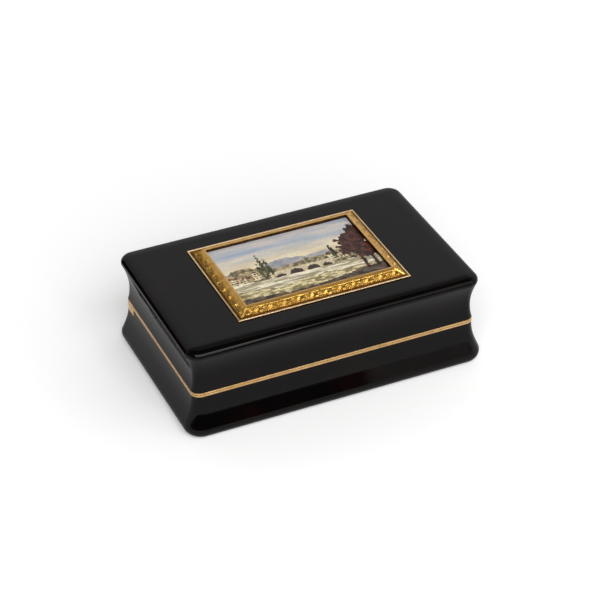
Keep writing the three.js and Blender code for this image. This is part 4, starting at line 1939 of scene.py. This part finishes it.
@dataclass
class Mosaic:
    """Slab of small glass tesserae bedded in mastic in a copper tray.

    Attributes:
        row: height of a row of tesserae.
        least_length: length of the shortest tesserae.
        most_length: length of the longest.
        joint: width of the mastic between them.
        chamfer: bevel round the top of a tessera.
        depth: how deep a tessera goes into the mastic.
        sunk: how far the tops lie under the slab's.
        least_end: length at the end of a row that takes no tessera.
        sway: how far a row strays up and down.
        sway_size: how far along and across the rows one such stray goes.
        sway_seed: picks the strays.
        slope_reach: how far to each side a row's slope is read.
        tilt: how far a top leans, in degrees.
        crease: angle past which an edge of a tessera is sharp, in degrees.
        seed: start of the random choices.
    """

    row: float = 0.36
    least_length: float = 0.4
    most_length: float = 0.7
    joint: float = 0.03
    chamfer: float = 0.04
    depth: float = 0.6
    sunk: float = 0.02
    least_end: float = 0.1
    sway: float = 0.22
    sway_size: Pair = (5.0, 7.0)
    sway_seed: float = 0.5
    slope_reach: float = 0.5
    tilt: float = 0.7
    crease: float = 20.0
    seed: int = 7

    def tessera(self) -> Object:
        """Makes one tessera a millimetre square, with its top at no height.

        Returns:
            The tessera.
        """
        outline = MitredOutline(1.0, 1.0)
        layout = ((0, -self.depth), (0, -self.chamfer), (-self.chamfer, 0))
        rings = [outline.ring(offset, height) for offset, height in layout]
        return Surface.loft(rings).piece("tessera", GLASS, math.radians(self.crease))

    def stray(self, x: float, y: float) -> float:
        """Gives how far a row strays from its level at a place."""
        return self.sway * waves(x, y, self.sway_size, self.sway_seed)

    def lay(self) -> tuple[np.ndarray, ...]:
        """Lays the tesserae in swaying rows.

        Returns:
            Places, turns, sizes and colours, one row for each tessera.
        """
        low, high = span("mosaic_panel")
        slab = high - low
        view = RiverView()
        chance = np.random.default_rng(self.seed)
        places, turns, sizes, colours = [], [], [], []
        rows = round(slab.y / self.row)
        row = slab.y / rows
        for level in range(rows):
            middle = low.y + level * row + row / 2
            start = low.x
            while start < high.x - self.least_end:
                length = min(chance.uniform(self.least_length, self.most_length), high.x - start)
                x = start + length / 2
                y = min(max(middle + self.stray(x, middle), low.y + row / 2), high.y - row / 2)
                rise = self.stray(x + self.slope_reach, middle) - self.stray(x - self.slope_reach, middle)
                lean = np.radians(chance.normal(0, self.tilt, 2))
                shade = view.colour(2 * x / slab.x, (y - low.y) / slab.y, chance.normal())
                places.append((x, y, high.z - self.sunk))
                turns.append((*lean, rise / (2 * self.slope_reach)))
                sizes.append((length - self.joint, row - self.joint, 1.0))
                colours.append((*np.clip(shade[:3], 0, 1), 1.0))
                start += length
        return tuple(np.array(values) for values in (places, turns, sizes, colours))

    def build(self) -> None:
        """Makes the tesserae, and dresses the bedding and the tray."""
        places, turns, sizes, colours = self.lay()
        slab = add_mesh("mosaic_tesserae", places)
        carry(slab, "turn", "FLOAT_VECTOR", turns)
        carry(slab, "size", "FLOAT_VECTOR", sizes)
        carry(slab, GLAZE, "FLOAT_COLOR", colours)
        tree = RepeatTree("tesserae on a slab", {"Tessera": "NodeSocketObject"})
        shape = tree.add("GeometryNodeObjectInfo", {"Object": tree.given["Tessera"]})["Geometry"]
        turn, size = (
            tree.add("GeometryNodeInputNamedAttribute", {"Name": name}, data_type="FLOAT_VECTOR")[0]
            for name in ("turn", "size")
        )
        swing = tree.add("FunctionNodeEulerToRotation", {"Euler": turn})[0]
        laid = tree.add("GeometryNodeInstanceOnPoints", {
            "Points": tree.given["Geometry"], "Instance": shape, "Rotation": swing, "Scale": size,
        })[0]
        tree.end(laid, GLASS)
        tessera = self.tessera()
        tree.apply(slab, {"Tessera": tessera})
        bpy.data.meshes.remove(tessera.data)
        seat(slab, Body.LID, Slot.TESSERAE, "mosaic_panel")
        dress("mosaic_cement", MASTIC)
        dress("mosaic_tray", COPPER)


# Studio


@dataclass(frozen=True)
class Viewpoint:
    """Where the photograph was taken from.

    Attributes:
        azimuth: degrees round from the front, to the right.
        elevation: degrees above the table.
        distance: from the object's origin.
        slide: shift of the camera to the right and up.
        roll: turn about the view, in degrees.
        focal_pixels: focal length in pixels of the image.
        image_pixels: width of the image.
        sensor: width of the sensor.
    """

    azimuth: float = -23.669
    elevation: float = 34.694
    distance: float = 640.394
    slide: Pair = (0.260, 13.728)
    roll: float = -0.880
    focal_pixels: float = 2156.7
    image_pixels: float = 600.0
    sensor: float = 36.0

    def build(self) -> None:
        """Makes the camera."""
        turn, rise, roll = (math.radians(angle) for angle in (self.azimuth, self.elevation, self.roll))
        back = Vector((math.sin(turn) * math.cos(rise), -math.cos(turn) * math.cos(rise), math.sin(rise)))
        level = Vector((math.cos(turn), math.sin(turn), 0))
        upright = back.cross(level)
        right = level * math.cos(roll) + upright * math.sin(roll)
        up = upright * math.cos(roll) - level * math.sin(roll)
        place = (back * self.distance + right * self.slide[0] + up * self.slide[1]) * MM
        camera = add_object("camera", bpy.data.cameras.new("camera"))
        camera.data.sensor_width = self.sensor
        camera.data.lens = self.sensor * self.focal_pixels / self.image_pixels
        camera.matrix_world = Matrix.Translation(place) @ Matrix((right, up, back)).transposed().to_4x4()
        bpy.context.scene.camera = camera


@dataclass(frozen=True)
class SoftBox:
    """A square lamp of even brightness.

    Attributes:
        name: what it is called.
        place: where it hangs.
        size: its width and height.
        power: its power in watts.
    """

    name: str
    place: Triple
    size: Pair
    power: float

    def build(self, aim: Vector) -> None:
        """Hangs the lamp and points it.

        Args:
            aim: the point that it faces.
        """
        lamp = add_object(self.name, bpy.data.lights.new(self.name, "AREA"))
        lamp.data.shape = "RECTANGLE"
        lamp.data.energy = self.power
        lamp.data.size = self.size[0] * MM
        lamp.data.size_y = self.size[1] * MM
        place = Vector(self.place)
        lamp.location = place * MM
        lamp.rotation_euler = (aim - place).to_track_quat("-Z", "Y").to_euler()


@dataclass(frozen=True)
class Card:
    """A card that only shows in the polish of the box.

    Attributes:
        name: what it is called.
        low: its lowest corner.
        high: its highest corner.
        finish: its finish.
    """

    name: str
    low: Triple
    high: Triple
    finish: Finish

    def build(self) -> None:
        """Stands the card up."""
        card = block(self.low, self.high).piece(self.name, self.finish)
        card.visible_camera = False
        card.visible_diffuse = False
        card.visible_shadow = False


@dataclass
class Studio:
    """White table in a dim room, with a large soft lamp in front, a weaker one at its right, and cards.

    Azimuths are in degrees, round from the front to the right, and elevations in degrees above the table.

    Attributes:
        floor_size: width of the table.
        floor_top: height of its top, just under the box.
        floor_depth: its thickness.
        bright_side: azimuth of the brightest wall.
        bright_wall: brightness of that wall.
        dark_wall: brightness of the wall across from it.
        dark_until: how far a wall turns towards the bright side where it stops being dark, from -1 to 1.
        bright_from: how far it turns where it is fully bright.
        ceiling: brightness of the ceiling.
        wall_tones: elevation and share of the wall's brightness, up to where the ceiling starts.
        cards: the cards, in front and at the left.
        aim: the point that the lamps face.
        lamps: the lamps.
    """

    floor_size: float = 6000.0
    floor_top: float = -0.02
    floor_depth: float = 2.0
    bright_side: float = 140.0
    bright_wall: float = 0.93
    dark_wall: float = 0.05
    dark_until: float = -0.45
    bright_from: float = 0.7
    ceiling: float = 0.04
    wall_tones: tuple[Pair, ...] = (
        (41.0, 1.0), (47.5, 0.34), (51.0, 0.34), (53.0, 0.6), (54.5, 0.4), (57.0, 0.0),
    )
    cards: tuple[Card, ...] = (
        Card("black_card", (-321.0, -136.0, 0.0), (51.0, -134.0, 28.0), FELT),
        Card("white_card", (49.0, -136.0, 0.0), (401.0, -134.0, 28.0), CARD),
        Card("side_card", (-106.0, 19.0, 0.0), (-104.0, 151.0, 82.0), FELT),
    )
    aim: Triple = (0.0, 0.0, 15.0)
    lamps: tuple[SoftBox, ...] = (
        SoftBox("front_softbox", place=(-192.0, -902.0, 786.0), size=(1170.0, 990.0), power=16.0),
        SoftBox("right_softbox", place=(642.0, -713.0, 737.0), size=(690.0, 870.0), power=2.3),
    )

    def build_floor(self) -> None:
        """Makes the table that the box stands on."""
        half = self.floor_size / 2
        low = (-half, -half, self.floor_top - self.floor_depth)
        floor = block(low, (half, half, self.floor_top)).piece("paper_sweep", SWEEP)

    def build_world(self) -> None:
        """Lights the room from its walls."""
        world = bpy.data.worlds.new("studio")
        world.use_nodes = True
        tree = world.node_tree
        tree.nodes.clear()
        way = add_node(tree, "ShaderNodeTexCoord").outputs["Generated"]
        height = add_node(tree, "ShaderNodeSeparateXYZ", {"Vector": way}).outputs["Z"]
        ramp = add_node(tree, "ShaderNodeValToRGB", {"Fac": height})
        stops = ramp.color_ramp.elements
        while len(stops) < len(self.wall_tones):
            stops.new(1.0)
        for stop, (elevation, tone) in zip(stops, self.wall_tones):
            stop.position = math.sin(math.radians(elevation))
            stop.color = (tone, tone, tone, 1.0)
        fade = ramp.outputs["Color"]
        turn = math.radians(self.bright_side)
        toward = add_node(tree, "ShaderNodeVectorMath", {
            0: way, 1: (math.sin(turn), -math.cos(turn), 0.0),
        }, operation="DOT_PRODUCT").outputs["Value"]
        wall = add_node(tree, "ShaderNodeMapRange", {
            "Value": toward, "From Min": self.dark_until, "From Max": self.bright_from,
            "To Min": self.dark_wall, "To Max": self.bright_wall,
        }).outputs["Result"]
        strength = add_node(tree, "ShaderNodeMath", {0: wall, 1: fade, 2: self.ceiling},
                            operation="MULTIPLY_ADD").outputs["Value"]
        light = add_node(tree, "ShaderNodeBackground", {"Color": linear(WHITE), "Strength": strength})
        add_node(tree, "ShaderNodeOutputWorld", {"Surface": light.outputs["Background"]})
        bpy.context.scene.world = world

    def build(self) -> None:
        """Makes the table, the cards and the light."""
        self.build_floor()
        for card in self.cards:
            card.build()
        self.build_world()
        for lamp in self.lamps:
            lamp.build(Vector(self.aim))
        bpy.context.scene.view_settings.view_transform = "Standard"


def main() -> None:
    """Builds the snuff box and its studio."""
    logging.basicConfig(level=logging.INFO, format="%(message)s")
    Viewpoint().build()
    Studio().build()
    joint = Joint()
    base = BaseShell(joint)
    lid = LidShell(joint)
    mounts = JointMounts(joint, base.wall, lid.wall)
    for part in (base, lid, mounts, Hinge(), PictureFrame(), Mosaic()):
        part.build()


if __name__ == "__main__":
    main()
